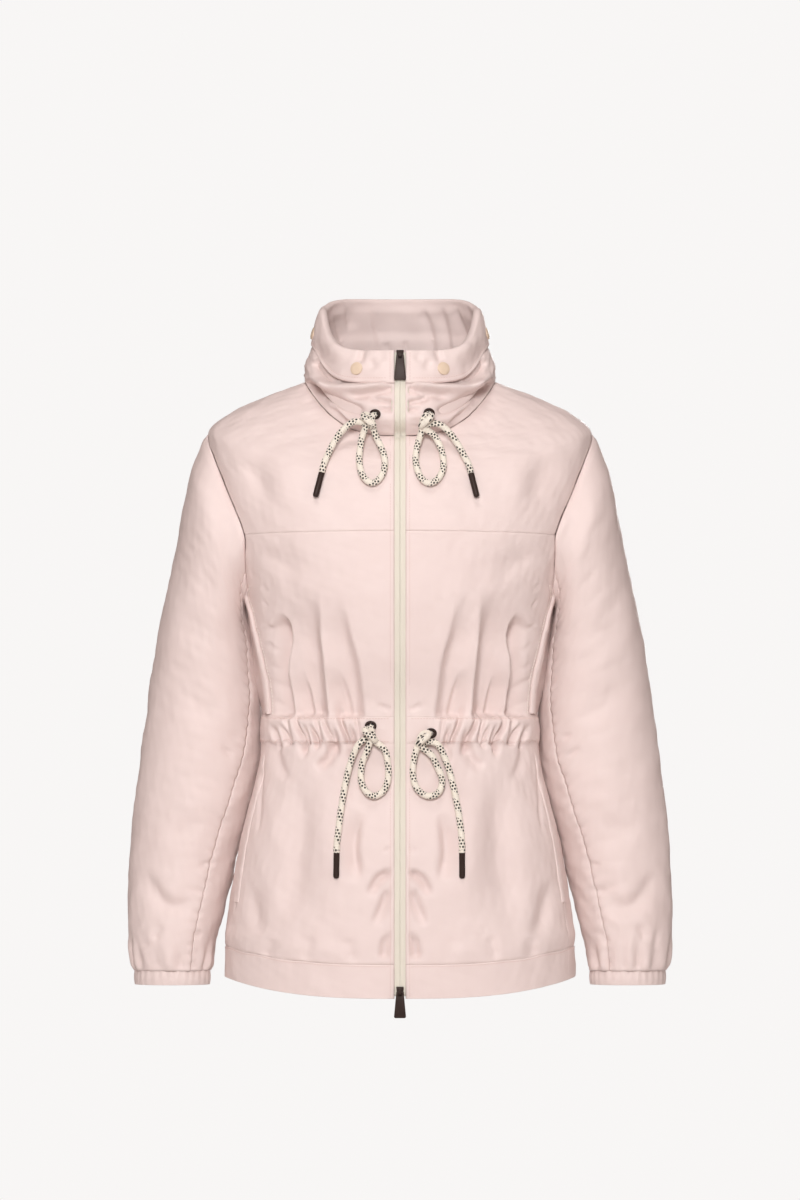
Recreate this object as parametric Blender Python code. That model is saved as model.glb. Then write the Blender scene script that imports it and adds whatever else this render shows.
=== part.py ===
"""Light jacket with a funnel collar, drawn in at the neck and the waist by cords.

Sizes are in millimetres in the tables and become metres when a mesh is made. +Z is up, the front
faces -Y, and the origin lies at the height of the neck points, in the middle of the neck.
"""
import math
from collections import namedtuple

import bmesh
import bpy
from mathutils import Matrix, Vector

MM = 0.001

# Cloth
WALL = 1.5
SEAM_GAP = 0.3
LAYER = WALL + SEAM_GAP
TRIM = 0.18
SLEEVE_TRIM = 0.32
NO_TRIM = (0, 0, 0, 0)
ZIP_OPEN = 6.0

# Cross-sections of the body, hem to neck. The station is the distance along the cloth from the hem.
# The rise is the power of the sine by which the height climbs from the front to the side,
# and the back rise is that from the back to the side.
Ring = namedtuple("Ring", "name station z_front z_side z_back half_width front back square rise back_rise", defaults=(2.0,))
TORSO = (
    Ring("hem", 0, -671, -650, -655, 193, 116, 114, 2.3, 2.5),
    Ring("hem_seam", 38, -634, -616, -620, 192, 116, 113, 2.3, 2.5),
    Ring("skirt", 150, -520, -512, -512, 178, 112, 106, 2.3, 2.0),
    Ring("channel_low", 272, -393, -393, -393, 152, 97, 90, 2.25, 2.0),
    Ring("channel_top", 301, -364, -364, -364, 151, 97, 90, 2.25, 2.0),
    Ring("ribs", 377, -288, -289, -289, 161, 113, 102, 2.3, 2.0),
    Ring("armpit", 447, -218, -222, -222, 171, 121, 112, 2.35, 2.0),
    Ring("yoke", 510, -161, -166, -166, 188, 119, 113, 2.4, 2.0),
    Ring("tip", 612, -101, -55, -62, 211, 106, 96, 2.2, 2.2),
    Ring("shoulder_out", 645, -88, -33, -36, 190, 100, 89, 2.15, 2.4),
    Ring("shoulder", 683, -75, -17, -15, 157, 93, 81, 2.1, 2.7),
    Ring("neck", 738, -57, 3, 10, 105, 82, 72, 2.0, 3.0),
)
COLLAR = (
    Ring("neck", 0, -57, 3, 10, 105, 82, 72, 2.0, 3.0),
    Ring("funnel", 26, -36, 18, 30, 105, 94, 77, 2.0, 4.0),
    Ring("band_low", 58, 1, 43, 63, 96, 88, 74, 2.0, 6.0, 5.0),
    Ring("rim", 98, 38, 85, 99, 84, 80, 69, 2.0, 8.0, 10.0),
)
HEM, HEM_SEAM, CHANNEL_LOW, CHANNEL_TOP = 0, 38, 272, 301
YOKE_SEAM, TIP, NECK = 510, 612, 738
BAND_LOW, RIM = 58, 98

# Angle of the front's outer edge, and of the back's, measured round from the centre front.
# Below the armhole both follow the side seam.
Edge = namedtuple("Edge", "station front back")
ARMHOLE_LOW = 436
SIDE_EDGES = (
    Edge(0, 72, 72),
    Edge(150, 73, 73),
    Edge(272, 77, 77),
    Edge(301, 78, 78),
    Edge(377, 77, 77),
    Edge(416, 79, 79),
    Edge(436, 84, 84),
    Edge(441, 81, 92),
    Edge(450, 77.5, 99),
    Edge(466, 74, 107),
    Edge(490, 67, 112),
    Edge(510, 63, 114),
    Edge(560, 70, 112),
    Edge(590, 78, 104),
    Edge(612, 90, 90),
    Edge(738, 90, 90),
)
CHEST_ROWS = (301, 331, 361, 390, 416, 436, 450, 470, 490, 510)
YOKE_ROWS = (510, 535, 560, 587, 612, 645, 683, 712, 738)
BACK_ROWS = (301, 331, 361, 390, 416, 436, 439, 444, 452, 466, 490, 520, 550, 582, 612, 645, 683, 712, 738)
SKIRT_ROWS = (38, 66, 94, 122, 150, 175, 199, 222, 240, 257, 272)
COLLAR_ROWS = (0, 7, 14, 21, 28, 36, 44, 51, 58, 78, 97)
UNDERARM_ROW = 439
SLEEVE_SEAM_FRONT_ROW = 470
SLEEVE_SEAM_BACK_ROW = 466

# Cross-sections of a sleeve, shoulder to wrist: its outer and inner point as the front shows them.
SleeveRing = namedtuple("SleeveRing", "name outer_x outer_z inner_x inner_z front back middle seam")
SLEEVE = (
    SleeveRing("cap", 229, -97, 172.0, -245, 67, 69, 6, 150),
    SleeveRing("upper", 247, -185, 167.5, -263, 70, 70, 18, 150),
    SleeveRing("biceps", 262, -257, 160.5, -293, 68, 68, 28, 148),
    SleeveRing("above_elbow", 274, -325, 153, -345, 64, 64, 31, 143),
    SleeveRing("elbow", 282, -385, 152.5, -396, 62, 62, 31, 137),
    SleeveRing("below_elbow", 290, -445, 161.5, -448, 59, 59, 28, 130),
    SleeveRing("forearm", 296.5, -510, 178, -510, 55, 55, 25, 124),
    SleeveRing("low", 299, -570, 192, -570, 51, 51, 17, 121),
    SleeveRing("blouse", 298, -612, 203, -612, 46, 46, 10, 120),
    SleeveRing("wrist", 292, -643.5, 209, -643.5, 39, 39, 6, 120),
)
CUFF_HEIGHT = 15.5

# Large soft folds, as troughs (below zero) and ridges along a line on a panel.
# Body and collar folds are placed by angle and station, sleeve folds by angle and share of the length.
Fold = namedtuple("Fold", "angle_0 at_0 angle_1 at_1 half_width depth")
CHEST_FOLDS = (
    Fold(52, 392, 58, 306, 9, -5.0),
    Fold(41, 408, 43, 303, 8, -4.5),
    Fold(31, 415, 16, 303, 9, -5.0),
    Fold(60, 420, 63, 310, 8, 2.5),
    Fold(22, 350, 29, 302, 7, -3.0),
    Fold(60, 500, 30, 440, 14, -3.0),
    Fold(25, 430, 12, 400, 13, 2.5),
)
SKIRT_FOLDS = (
    Fold(5, 146, 14, 116, 9, -4.0),
    Fold(6, 128, 12, 92, 8, -3.5),
    Fold(33, 268, 39, 170, 12, -5.0),
    Fold(54, 266, 55, 120, 12, -4.0),
    Fold(29, 262, 30, 190, 9, 2.5),
    Fold(66, 262, 62, 90, 12, 3.0),
)
BACK_FOLDS = (
    Fold(112, 392, 116, 306, 10, -5.0),
    Fold(131, 420, 134, 304, 12, -4.5),
    Fold(152, 400, 150, 304, 10, -4.0),
    Fold(168, 430, 166, 304, 13, -4.5),
    Fold(120, 520, 150, 430, 16, -3.0),
)
BACK_SKIRT_FOLDS = (
    Fold(104, 268, 100, 120, 12, -4.0),
    Fold(128, 268, 130, 150, 13, -5.0),
    Fold(150, 268, 153, 120, 13, -4.5),
    Fold(169, 268, 168, 170, 11, -4.0),
)
COLLAR_FOLDS = (
    Fold(27, 24, 66, 12, 6, -5.0),
    Fold(10, 48, 52, 50, 6, -5.0),
    Fold(34, 36, 58, 36, 6, 3.0),
    Fold(70, 36, 112, 30, 7, -4.0),
    Fold(120, 34, 172, 30, 7, -3.0),
)
SLEEVE_FOLDS = (
    Fold(20, 0.80, 110, 0.86, 10, -4.5),
    Fold(60, 0.90, 118, 0.84, 8, -4.0),
    Fold(150, 0.55, 80, 0.50, 13, -4.0),
    Fold(125, 0.66, 70, 0.72, 11, -3.5),
    Fold(40, 0.16, 80, 0.42, 14, -3.0),
    Fold(-40, 0.60, -110, 0.54, 13, -4.0),
    Fold(-30, 0.84, -120, 0.80, 10, -4.0),
)
CHANNEL_GATHERS_FRONT = 12
CHANNEL_GATHERS_BACK = 22
CHANNEL_GATHER_DEPTH = 1.9
GATHER_START = 40
CUFF_GATHERS = 14
CUFF_GATHER_DEPTH = 1.2

# Open pleat down the side of the chest, and the strips laid over the side seam
PLEAT_DEPTH = 4.0
PLEAT_FADE = 11.0
PLEAT_STRIP = (-4.0, 1.5)
PLEAT_ROWS = (304, 331, 361, 390, 416, 426)
POCKET_WELT = (-2.5, 3.0)
POCKET_STATIONS = (92, 262)

# Zip, from the hem up to the collar's rim
TAPE_HALF = 9.5
TAPE_THICK = 1.0
TAPE_MEET = 0.2
TAPE_BEHIND = WALL + 0.6
TAPE_NECK_BEHIND = TAPE_BEHIND + 0.8
TAPE_LOW, TAPE_HIGH, TAPE_OFF_NECK = 3, 95, 9
SLIDER_WIDTH, SLIDER_LENGTH, SLIDER_THICK, SLIDER_ROUND = 8.4, 11.0, 3.4, 1.0
SLIDER_BACK = SEAM_GAP - TAPE_BEHIND
BAIL_WIDTH, BAIL_LENGTH, BAIL_THICK, BAIL_REACH = 3.0, 7.0, 1.2, 4.2
BAIL_SINK = 0.6
PULL_TOP_WIDTH, PULL_END_WIDTH, PULL_THICK, PULL_ROUND = 8.2, 13.4, 2.0, 2.0
PULL_LENGTH, PULL_EYE_LENGTH, PULL_EYE_WIDTH, PULL_BAR = 28.0, 5.0, 4.2, 1.5
PULL_CLEARANCE = 0.35
TOP_SLIDER_STATION, BOTTOM_SLIDER_STATION = 90.5, 8.0

# Trim
EYELET_HALF_WIDTH, EYELET_HALF_HEIGHT = 5.6, 4.8
EYELET_RIM, EYELET_RIM_HEIGHT, EYELET_LIFT = 1.6, 1.0, 0.45
SNAP_RADIUS, SNAP_TOP_RADIUS, SNAP_HEIGHT, SNAP_LIFT = 7.2, 6.0, 2.4, 0.55
SNAP_PLACES = (("front", 30.0, 73.0), ("side", 86.0, 72.0))
CORD_RADIUS = 3.6
CORD_STEP = 8.0
KNOT_RADIUS, KNOT_HALF_DEPTH, KNOT_GAP = 10.5, 6.8, 0.45
AGLET_RADIUS, AGLET_TIP = 3.3, 2.0

# Drawstring ends. An eyelet lies on the collar or the body at an angle and a station. The cord comes out
# of it into a knot, makes a hanging loop back to the knot, and ends in a tail with an aglet.
Drawstring = namedtuple("Drawstring", "name sheet side angle station knot loop tail aglet")
DRAWSTRINGS = (
    Drawstring(
        "neck_left", "collar", -1, 14.9, 28, (-34.5, -99.6, -41.0),
        ((-41.0, -95.6, -57.0), (-43.5, -96.5, -70.5), (-44.5, -102.0, -84.0), (-42.0, -109.5, -98.0),
         (-36.0, -112.6, -107.0), (-29.0, -113.0, -109.5), (-21.5, -111.3, -103.5), (-16.5, -106.0, -91.5),
         (-17.5, -100.0, -78.0), (-22.5, -96.2, -66.0), (-27.0, -95.6, -56.0)),
        ((-50.0, -95.0, -41.5), (-60.0, -93.8, -48.5), (-68.5, -93.2, -58.5), (-75.5, -94.5, -71.0),
         (-80.6, -98.0, -82.5)),
        ((-84.5, -102.6, -94.0), (-92.4, -110.0, -124.3))),
    Drawstring(
        "neck_right", "collar", 1, 17.4, 29, (29.0, -100.4, -41.0),
        ((22.5, -95.6, -56.5), (18.8, -96.5, -68.5), (17.0, -102.4, -83.6), (20.5, -109.7, -99.0),
         (27.0, -112.7, -108.0), (34.0, -113.0, -109.5), (42.0, -110.5, -104.0), (47.5, -105.0, -91.5),
         (46.0, -97.6, -75.5), (40.8, -95.4, -62.5), (35.8, -95.6, -55.0)),
        ((43.0, -95.0, -44.5), (51.5, -93.6, -51.0), (59.5, -93.2, -61.0), (66.5, -94.5, -72.5),
         (72.3, -99.0, -84.0)),
        ((76.5, -103.9, -94.5), (84.0, -111.4, -124.5))),
    Drawstring(
        "waist_left", "body", -1, 10.0, 291, (-33.0, -104.5, -384.0),
        ((-35.5, -103.2, -400.5), (-40.9, -101.8, -413.0), (-42.8, -102.6, -429.5), (-39.7, -105.0, -441.5),
         (-30.3, -107.0, -450.5), (-19.5, -106.6, -446.5), (-13.2, -104.8, -433.5), (-13.2, -102.8, -414.5),
         (-17.0, -103.0, -399.0)),
        ((-45.5, -102.5, -394.0), (-51.5, -100.0, -407.0), (-55.8, -99.6, -420.5), (-60.0, -101.4, -439.0),
         (-63.3, -103.9, -458.5), (-65.8, -106.5, -476.0), (-67.8, -108.9, -494.0)),
        ((-69.0, -110.3, -508.2), (-69.6, -112.4, -540.1))),
    Drawstring(
        "waist_right", "body", 1, 10.6, 283, (26.0, -104.6, -388.0),
        ((17.0, -103.5, -402.5), (13.9, -103.2, -420.2), (15.6, -105.3, -436.5), (20.8, -106.4, -445.0),
         (29.8, -107.0, -450.5), (40.5, -105.7, -448.3), (45.3, -104.0, -440.5), (45.6, -102.2, -429.8),
         (41.0, -101.8, -419.0), (34.0, -103.0, -405.0)),
        ((40.2, -103.4, -392.6), (47.4, -101.0, -405.0), (53.6, -100.0, -422.0), (59.2, -102.2, -444.0),
         (63.8, -105.5, -468.0), (66.6, -108.6, -489.5)),
        ((67.6, -111.0, -508.2), (67.8, -113.0, -540.1))),
)

MaterialSpec = namedtuple("MaterialSpec", "colour roughness metallic")
FINISHES = {
    "shell_cloth": MaterialSpec((0.83, 0.66, 0.62), 0.55, 0.0),
    "zip_tape": MaterialSpec((0.80, 0.75, 0.64), 0.65, 0.0),
    "dark_metal": MaterialSpec((0.035, 0.022, 0.018), 0.35, 0.8),
    "snap_cap": MaterialSpec((0.75, 0.56, 0.42), 0.35, 0.0),
    "cord_braid": MaterialSpec((0.80, 0.72, 0.60), 0.80, 0.0),
}


def spline(xs, ys, x):
    """Cubic through the points (xs, ys) that doesn't overshoot them."""
    if x <= xs[0]:
        return ys[0]
    if x >= xs[-1]:
        return ys[-1]
    last = len(xs) - 1
    steps = [xs[i + 1] - xs[i] for i in range(last)]
    slopes = [(ys[i + 1] - ys[i]) / steps[i] for i in range(last)]
    i = max(k for k in range(last) if xs[k] <= x)

    def tangent(k):
        if k in (0, last):
            return slopes[min(k, last - 1)]
        before, after = slopes[k - 1], slopes[k]
        if before * after <= 0:
            return 0.0
        return 2 * before * after / (before + after)

    h = steps[i]
    t = (x - xs[i]) / h
    start = ys[i] * (2 * t ** 3 - 3 * t ** 2 + 1) + h * tangent(i) * (t ** 3 - 2 * t ** 2 + t)
    end = ys[i + 1] * (3 * t ** 2 - 2 * t ** 3) + h * tangent(i + 1) * (t ** 3 - t ** 2)
    return start + end


def column(table, field):
    return [getattr(row, field) for row in table]


def ring_at(table, station):
    """The cross-section at a station between the rows of a table."""
    stations = column(table, "station")
    values = {f: spline(stations, column(table, f), station) for f in Ring._fields[2:]}
    return Ring("between", station, **values)


def ring_point(ring, angle):
    """Point of a cross-section at an angle in degrees round from the centre front towards +X."""
    sine, cosine = math.sin(math.radians(angle)), math.cos(math.radians(angle))
    across = math.copysign(abs(sine) ** (2 / ring.square), sine)
    along = math.copysign(abs(cosine) ** (2 / ring.square), cosine)
    if cosine > 0:
        depth, z_middle, climb = ring.front, ring.z_front, abs(sine) ** ring.rise
    else:
        depth, z_middle, climb = ring.back, ring.z_back, abs(sine) ** ring.back_rise
    z = z_middle + (ring.z_side - z_middle) * climb
    return Vector((ring.half_width * across, -depth * along, z))


def surface_point(table, angle, station):
    return ring_point(ring_at(table, station), angle)


def surface_normal(table, angle, station):
    """Outward normal of the body or the collar, from two short steps on its surface."""
    low, high = table[0].station, table[-1].station
    turn = 0.5
    s0, s1 = max(low, station - 1.0), min(high, station + 1.0)
    round_step = surface_point(table, angle + turn, station) - surface_point(table, angle - turn, station)
    up_step = surface_point(table, angle, s1) - surface_point(table, angle, s0)
    return round_step.cross(up_step).normalized()


def angle_at_x(ring, x):
    """Angle on the front of a cross-section where it is x from the middle."""
    return math.degrees(math.asin((x / ring.half_width) ** (ring.square / 2)))


def front_edge(station):
    return spline(column(SIDE_EDGES, "station"), column(SIDE_EDGES, "front"), station)


def back_edge(station):
    return spline(column(SIDE_EDGES, "station"), column(SIDE_EDGES, "back"), station)


def fold_height(folds, angle, at, scale_angle, scale_at):
    """Sum of the folds at a place; the scales turn degrees and stations into millimetres."""
    total = 0.0
    for fold in folds:
        ax, ay = fold.angle_0 * scale_angle, fold.at_0 * scale_at
        bx, by = fold.angle_1 * scale_angle, fold.at_1 * scale_at
        px, py = angle * scale_angle - ax, at * scale_at - ay
        length = math.hypot(bx - ax, by - ay)
        share = (px * (bx - ax) + py * (by - ay)) / length ** 2
        off = (px * (by - ay) - py * (bx - ax)) / length
        past = max(0.0, -share, share - 1.0) * length
        total += fold.depth * math.exp(-(off ** 2 + past ** 2) / fold.half_width ** 2)
    return total


def ease(share):
    share = min(1.0, max(0.0, share))
    return share * share * (3 - 2 * share)


def clear_of_edges(place, low, high, reach):
    """Fades a fold to nothing at a panel's seams."""
    return ease((place - low) / reach) * ease((high - place) / reach)


def finish(name):
    """The named Principled material, made once."""
    if name in bpy.data.materials:
        return bpy.data.materials[name]
    spec = FINISHES[name]
    material = bpy.data.materials.new(name)
    material.use_nodes = True
    shader = material.node_tree.nodes["Principled BSDF"]
    shader.inputs["Base Color"].default_value = (*spec.colour, 1.0)
    shader.inputs["Roughness"].default_value = spec.roughness
    shader.inputs["Metallic"].default_value = spec.metallic
    material.diffuse_color = (*spec.colour, 1.0)
    return material


def add_object(name, bm, material):
    """Turns a bmesh into a named object with one material."""
    bmesh.ops.recalc_face_normals(bm, faces=bm.faces[:])
    mesh = bpy.data.meshes.new(name)
    bm.to_mesh(mesh)
    bm.free()
    mesh.shade_smooth()
    mesh.set_sharp_from_angle(angle=math.radians(50))
    mesh.materials.append(finish(material))
    obj = bpy.data.objects.new(name, mesh)
    bpy.context.scene.collection.objects.link(obj)
    return obj


def trimmed(line, at_start, at_end):
    """Draws the ends of a row of (point, normal) pairs back along the cloth by the given lengths."""
    line = list(line)
    for length, end, inside in ((at_start, 0, 1), (at_end, -1, -2)):
        point, normal = line[end]
        line[end] = (point + (line[inside][0] - point).normalized() * length, normal)
    return line


def cloth(name, rows, material="shell_cloth", thick=WALL, trim=(TRIM, TRIM, TRIM, TRIM)):
    """A closed wall of cloth from rows of (outer point, outward normal), each row of equal length.

    trim is how far the edges are drawn back: start and end of each row, first row, last row.
    """
    rows = [trimmed(row, trim[0], trim[1]) for row in rows]
    columns = [trimmed(col, trim[2], trim[3]) for col in zip(*rows)]
    across, up = len(columns) - 1, len(rows) - 1
    bm = bmesh.new()
    bmesh.ops.create_grid(bm, x_segments=across, y_segments=up, size=0.5)
    place = bm.verts.layers.int.new("place")
    for vert in bm.verts:
        i, j = round((vert.co.x + 0.5) * across), round((vert.co.y + 0.5) * up)
        vert[place] = j * (across + 1) + i
        vert.co = columns[i][j][0] * MM
    bmesh.ops.triangulate(bm, faces=bm.faces[:], quad_method="SHORT_EDGE")
    extruded = bmesh.ops.extrude_face_region(bm, geom=bm.faces[:], use_keep_orig=True)
    for vert in extruded["geom"]:
        if isinstance(vert, bmesh.types.BMVert):
            j, i = divmod(vert[place], across + 1)
            point, normal = columns[i][j]
            vert.co = (point - normal * thick) * MM
    return add_object(name, bm, material)


def mirrored(rows):
    """The same rows on the -X side."""
    def flip(v):
        return Vector((-v.x, v.y, v.z))
    return [[(flip(point), flip(normal)) for point, normal in row] for row in rows]


def both_sides(name, rows, **options):
    cloth(name + "_right", rows, **options)
    cloth(name + "_left", mirrored(rows), **options)


def spread(low, high, count):
    return [low + (high - low) * i / count for i in range(count + 1)]


def body_place(angle, station, lift=0.0):
    """Point and normal on the body, moved out by lift."""
    normal = surface_normal(TORSO, angle, station)
    return surface_point(TORSO, angle, station) + normal * lift, normal


def front_panel(stations, columns, lift):
    """Rows of a front panel from the zip edge to its outer edge; lift gives its folds."""
    rows = []
    for station in stations:
        zip_angle = angle_at_x(ring_at(TORSO, station), ZIP_OPEN)
        angles = spread(zip_angle, front_edge(station), columns)
        rows.append([body_place(angle, station, lift(angle, station)) for angle in angles])
    return rows


def back_panel(stations, columns, lift):
    """Rows of a back panel from the right side seam round to the left one."""
    rows = []
    for station in stations:
        edge = back_edge(station)
        angles = spread(edge, 360 - edge, columns)
        rows.append([body_place(angle, station, lift(min(angle, 360 - angle), station)) for angle in angles])
    return rows


def chest_lift(angle, station):
    fade = clear_of_edges(angle, 2, front_edge(station) - 6, 7) * ease((YOKE_SEAM - station) / 20)
    return fade * ease((station - CHANNEL_TOP) / 8) * fold_height(CHEST_FOLDS, angle, station, 2.4, 1.0)


def skirt_lift(angle, station):
    fade = clear_of_edges(angle, 2, front_edge(station), 7) * ease((station - HEM_SEAM) / 30)
    return fade * ease((CHANNEL_LOW - station) / 8) * fold_height(SKIRT_FOLDS, angle, station, 2.6, 1.0)


def back_lift(angle, station):
    """Folds of the back, and the pleat that tucks its edge in behind the front below the armhole."""
    edge = back_edge(station)
    folds = ease((angle - edge) / 8) * ease((station - CHANNEL_TOP) / 8)
    tuck = ease(1 - (angle - edge) / PLEAT_FADE) * clear_of_edges(station, CHANNEL_TOP, ARMHOLE_LOW, 25)
    return folds * fold_height(BACK_FOLDS, angle, station, 2.4, 1.0) - PLEAT_DEPTH * tuck


def back_skirt_lift(angle, station):
    fade = ease((angle - back_edge(station)) / 8) * ease((station - HEM_SEAM) / 30)
    return fade * ease((CHANNEL_LOW - station) / 8) * fold_height(BACK_SKIRT_FOLDS, angle, station, 2.4, 1.0)


def no_lift(angle, station):
    return 0.0


def make_body():
    both_sides("front_yoke", front_panel(YOKE_ROWS, 9, no_lift), trim=(0, TRIM, TRIM, TRIM))
    both_sides("front_chest", front_panel(CHEST_ROWS, 14, chest_lift), trim=(0, TRIM, TRIM, TRIM))
    both_sides("front_skirt", front_panel(SKIRT_ROWS, 14, skirt_lift), trim=(0, TRIM, TRIM, TRIM))
    both_sides("hem_band_front", front_panel((HEM, HEM_SEAM), 14, no_lift), trim=(0, TRIM, 0, TRIM))
    cloth("back_upper", back_panel(BACK_ROWS, 16, back_lift))
    cloth("back_lower", back_panel(SKIRT_ROWS, 18, back_skirt_lift))
    cloth("hem_band_back", back_panel((HEM, HEM_SEAM), 18, no_lift), trim=(TRIM, TRIM, 0, TRIM))


def gathered_strip(panel, gathers, depth, count_rows):
    """Rows of the waist channel: a ridge and a trough for each gather, flat along both seams."""
    rows = panel(spread(CHANNEL_LOW, CHANNEL_TOP, count_rows), 2 * gathers, no_lift)
    for j, row in enumerate(rows):
        height = depth * math.sin(math.pi * j / count_rows)
        for i in range(1, len(row) - 1):
            point, normal = row[i]
            beyond_eyelet = 1.0 if point.y > 0 else ease((abs(point.x) - GATHER_START) / 12)
            uneven = 1.0 + 0.35 * math.sin(2.3 * i)
            lift = height * uneven * beyond_eyelet * (1 if i % 2 else -0.6)
            row[i] = (point + normal * lift, normal)
    return rows


def make_waist_channel():
    front = gathered_strip(front_panel, CHANNEL_GATHERS_FRONT, CHANNEL_GATHER_DEPTH, 3)
    both_sides("waist_channel_front", front, trim=(0, TRIM, TRIM, TRIM))
    cloth("waist_channel_back", gathered_strip(back_panel, CHANNEL_GATHERS_BACK, CHANNEL_GATHER_DEPTH, 2))


def make_side_strips():
    """Narrow strips laid on the side seam: the pleat's stitched edge, and the pocket welt."""
    pleat_rows = []
    for station in PLEAT_ROWS:
        seam = front_edge(station)
        pleat_rows.append([body_place(seam + turn, station, LAYER) for turn in spread(*PLEAT_STRIP, 2)])
    both_sides("side_pleat_strip", pleat_rows, trim=NO_TRIM)
    welt_rows = []
    for station in spread(*POCKET_STATIONS, 8):
        seam = front_edge(station)
        welt_rows.append([body_place(seam + turn, station, LAYER + 0.6) for turn in spread(*POCKET_WELT, 2)])
    both_sides("pocket_welt", welt_rows, trim=NO_TRIM)


def armhole_loop():
    """Corners of the armhole from the shoulder tip down the front, under the arm and up the back.

    Each has its point, the body's normal there and its angle round the sleeve: 0 at the shoulder tip,
    180 under the arm, negative behind.
    """
    front_rows = [s for s in YOKE_ROWS if YOKE_SEAM < s <= TIP][::-1]
    front_rows += [s for s in CHEST_ROWS if s >= ARMHOLE_LOW][::-1]
    corners = [(s, front_edge(s)) for s in front_rows]
    back_rows = [s for s in BACK_ROWS if ARMHOLE_LOW < s < TIP]
    corners += [(s, back_edge(s)) for s in back_rows]
    points = [surface_point(TORSO, angle, station) for station, angle in corners]
    normals = [surface_normal(TORSO, angle, station) for station, angle in corners]
    count = len(points)
    lengths = [(points[(i + 1) % count] - points[i]).length for i in range(count)]
    under = len(front_rows) + back_rows.index(UNDERARM_ROW)
    front_length, back_length = sum(lengths[:under]), sum(lengths[under:])
    angles = [180 * sum(lengths[:i]) / front_length for i in range(under + 1)]
    angles += [-180 * sum(lengths[i:]) / back_length for i in range(under + 1, count)]
    front_seam = front_rows.index(SLEEVE_SEAM_FRONT_ROW)
    back_seam = len(front_rows) + back_rows.index(SLEEVE_SEAM_BACK_ROW)
    return points, normals, angles, front_seam, back_seam


def sleeve_ring_point(ring, angle):
    middle_x, middle_z = (ring.outer_x + ring.inner_x) / 2, (ring.outer_z + ring.inner_z) / 2
    half_x, half_z = (ring.outer_x - ring.inner_x) / 2, (ring.outer_z - ring.inner_z) / 2
    sine, cosine = math.sin(math.radians(angle)), math.cos(math.radians(angle))
    depth = ring.front if sine > 0 else ring.back
    return Vector((middle_x + half_x * cosine, ring.middle - depth * sine, middle_z + half_z * cosine))


def moved_angle(angle, seam_start, seam_now):
    """Angle of a corner after the sleeve's seam has turned from seam_start to seam_now."""
    size = abs(angle)
    if size <= seam_start:
        size = size * seam_now / seam_start
    else:
        size = 180 - (180 - size) * (180 - seam_now) / (180 - seam_start)
    return math.copysign(size, angle)


def armhole_seat(point, body_normal, sleeve_normal, beside, centre):
    """Where a corner of the sleeve meets the armhole's edge, a seam gap from the body.

    Where the sleeve carries on from the body it stands off along the body's surface. Under the arm,
    where it folds back, it stands off outwards.
    """
    away = body_normal.cross(beside[1] - beside[0]).normalized()
    if away.dot(centre - point) < 0:
        away = -away
    fold_back = max(0.0, -body_normal.dot(sleeve_normal))
    stand_off = (away * (1 - fold_back) + body_normal * fold_back).normalized()
    normal = body_normal if sleeve_normal.dot(away) > 0 else sleeve_normal
    return point + stand_off * SEAM_GAP, normal


SLEEVE_ROWS = 15


def sleeve_grid():
    """Grid of (point, normal) over a whole sleeve, and the two corners where its seams start."""
    points, body_normals, angles, front_seam, back_seam = armhole_loop()
    lines = []
    for point, angle in zip(points, angles):
        seam_start = abs(angles[front_seam] if angle >= 0 else angles[back_seam])
        knots = [point] + [sleeve_ring_point(r, moved_angle(angle, seam_start, r.seam)) for r in SLEEVE]
        run = [0.0]
        for a, b in zip(knots, knots[1:]):
            run.append(run[-1] + (b - a).length)
        shares = spread(0.0, 1.0, SLEEVE_ROWS)
        lines.append([Vector([spline(run, [k[axis] for k in knots], share * run[-1]) for axis in range(3)])
                      for share in shares])
    count = len(lines)
    centre = sum(points, Vector()) / count
    grid = []
    for i, line in enumerate(lines):
        before, after = lines[i - 1], lines[(i + 1) % count]
        seam_start = abs(angles[front_seam] if angles[i] >= 0 else angles[back_seam])
        row = []
        for j, point in enumerate(line):
            down = line[min(j + 1, SLEEVE_ROWS)] - line[max(j - 1, 0)]
            normal = (after[j] - before[j]).cross(down).normalized()
            share = j / SLEEVE_ROWS
            angle = moved_angle(angles[i], seam_start, SLEEVE[-1].seam)
            lift = fold_height(SLEEVE_FOLDS, angle, share, 1.0, 590) * clear_of_edges(share, 0, 1, 0.07)
            row.append((point + normal * lift, normal))
        sleeve_normal = (row[0][1] + row[1][1] * 2).normalized()
        beside = points[i - 1], points[(i + 1) % count]
        row[0] = armhole_seat(line[0], body_normals[i], sleeve_normal, beside, centre)
        grid.append(row)
    return grid, front_seam, back_seam


def make_sleeves():
    grid, front_seam, back_seam = sleeve_grid()
    top = grid[back_seam:] + grid[:front_seam + 1]
    under = grid[front_seam:back_seam + 1]
    both_sides("sleeve_top", top, trim=(0, TRIM, SLEEVE_TRIM, SLEEVE_TRIM))
    both_sides("sleeve_under", under, trim=(0, TRIM, SLEEVE_TRIM, SLEEVE_TRIM))


def make_cuffs():
    """Narrow elastic cuffs, a ridge and a trough for each gather, seamed under the wrist."""
    wrist = SLEEVE[-1]
    columns = 2 * CUFF_GATHERS
    rows = []
    for drop in (SEAM_GAP, CUFF_HEIGHT):
        row = []
        for i, angle in enumerate(spread(-179.6, 179.6, columns)):
            point = sleeve_ring_point(wrist, angle)
            middle = Vector(((wrist.outer_x + wrist.inner_x) / 2, wrist.middle, point.z))
            normal = (point - middle).normalized()
            lift = CUFF_GATHER_DEPTH * (0 if i in (0, columns) else (-0.5 - i % 2))
            row.append((point + normal * lift - Vector((0, 0, drop)), normal))
        rows.append(row)
    both_sides("cuff", rows, trim=NO_TRIM)


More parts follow.
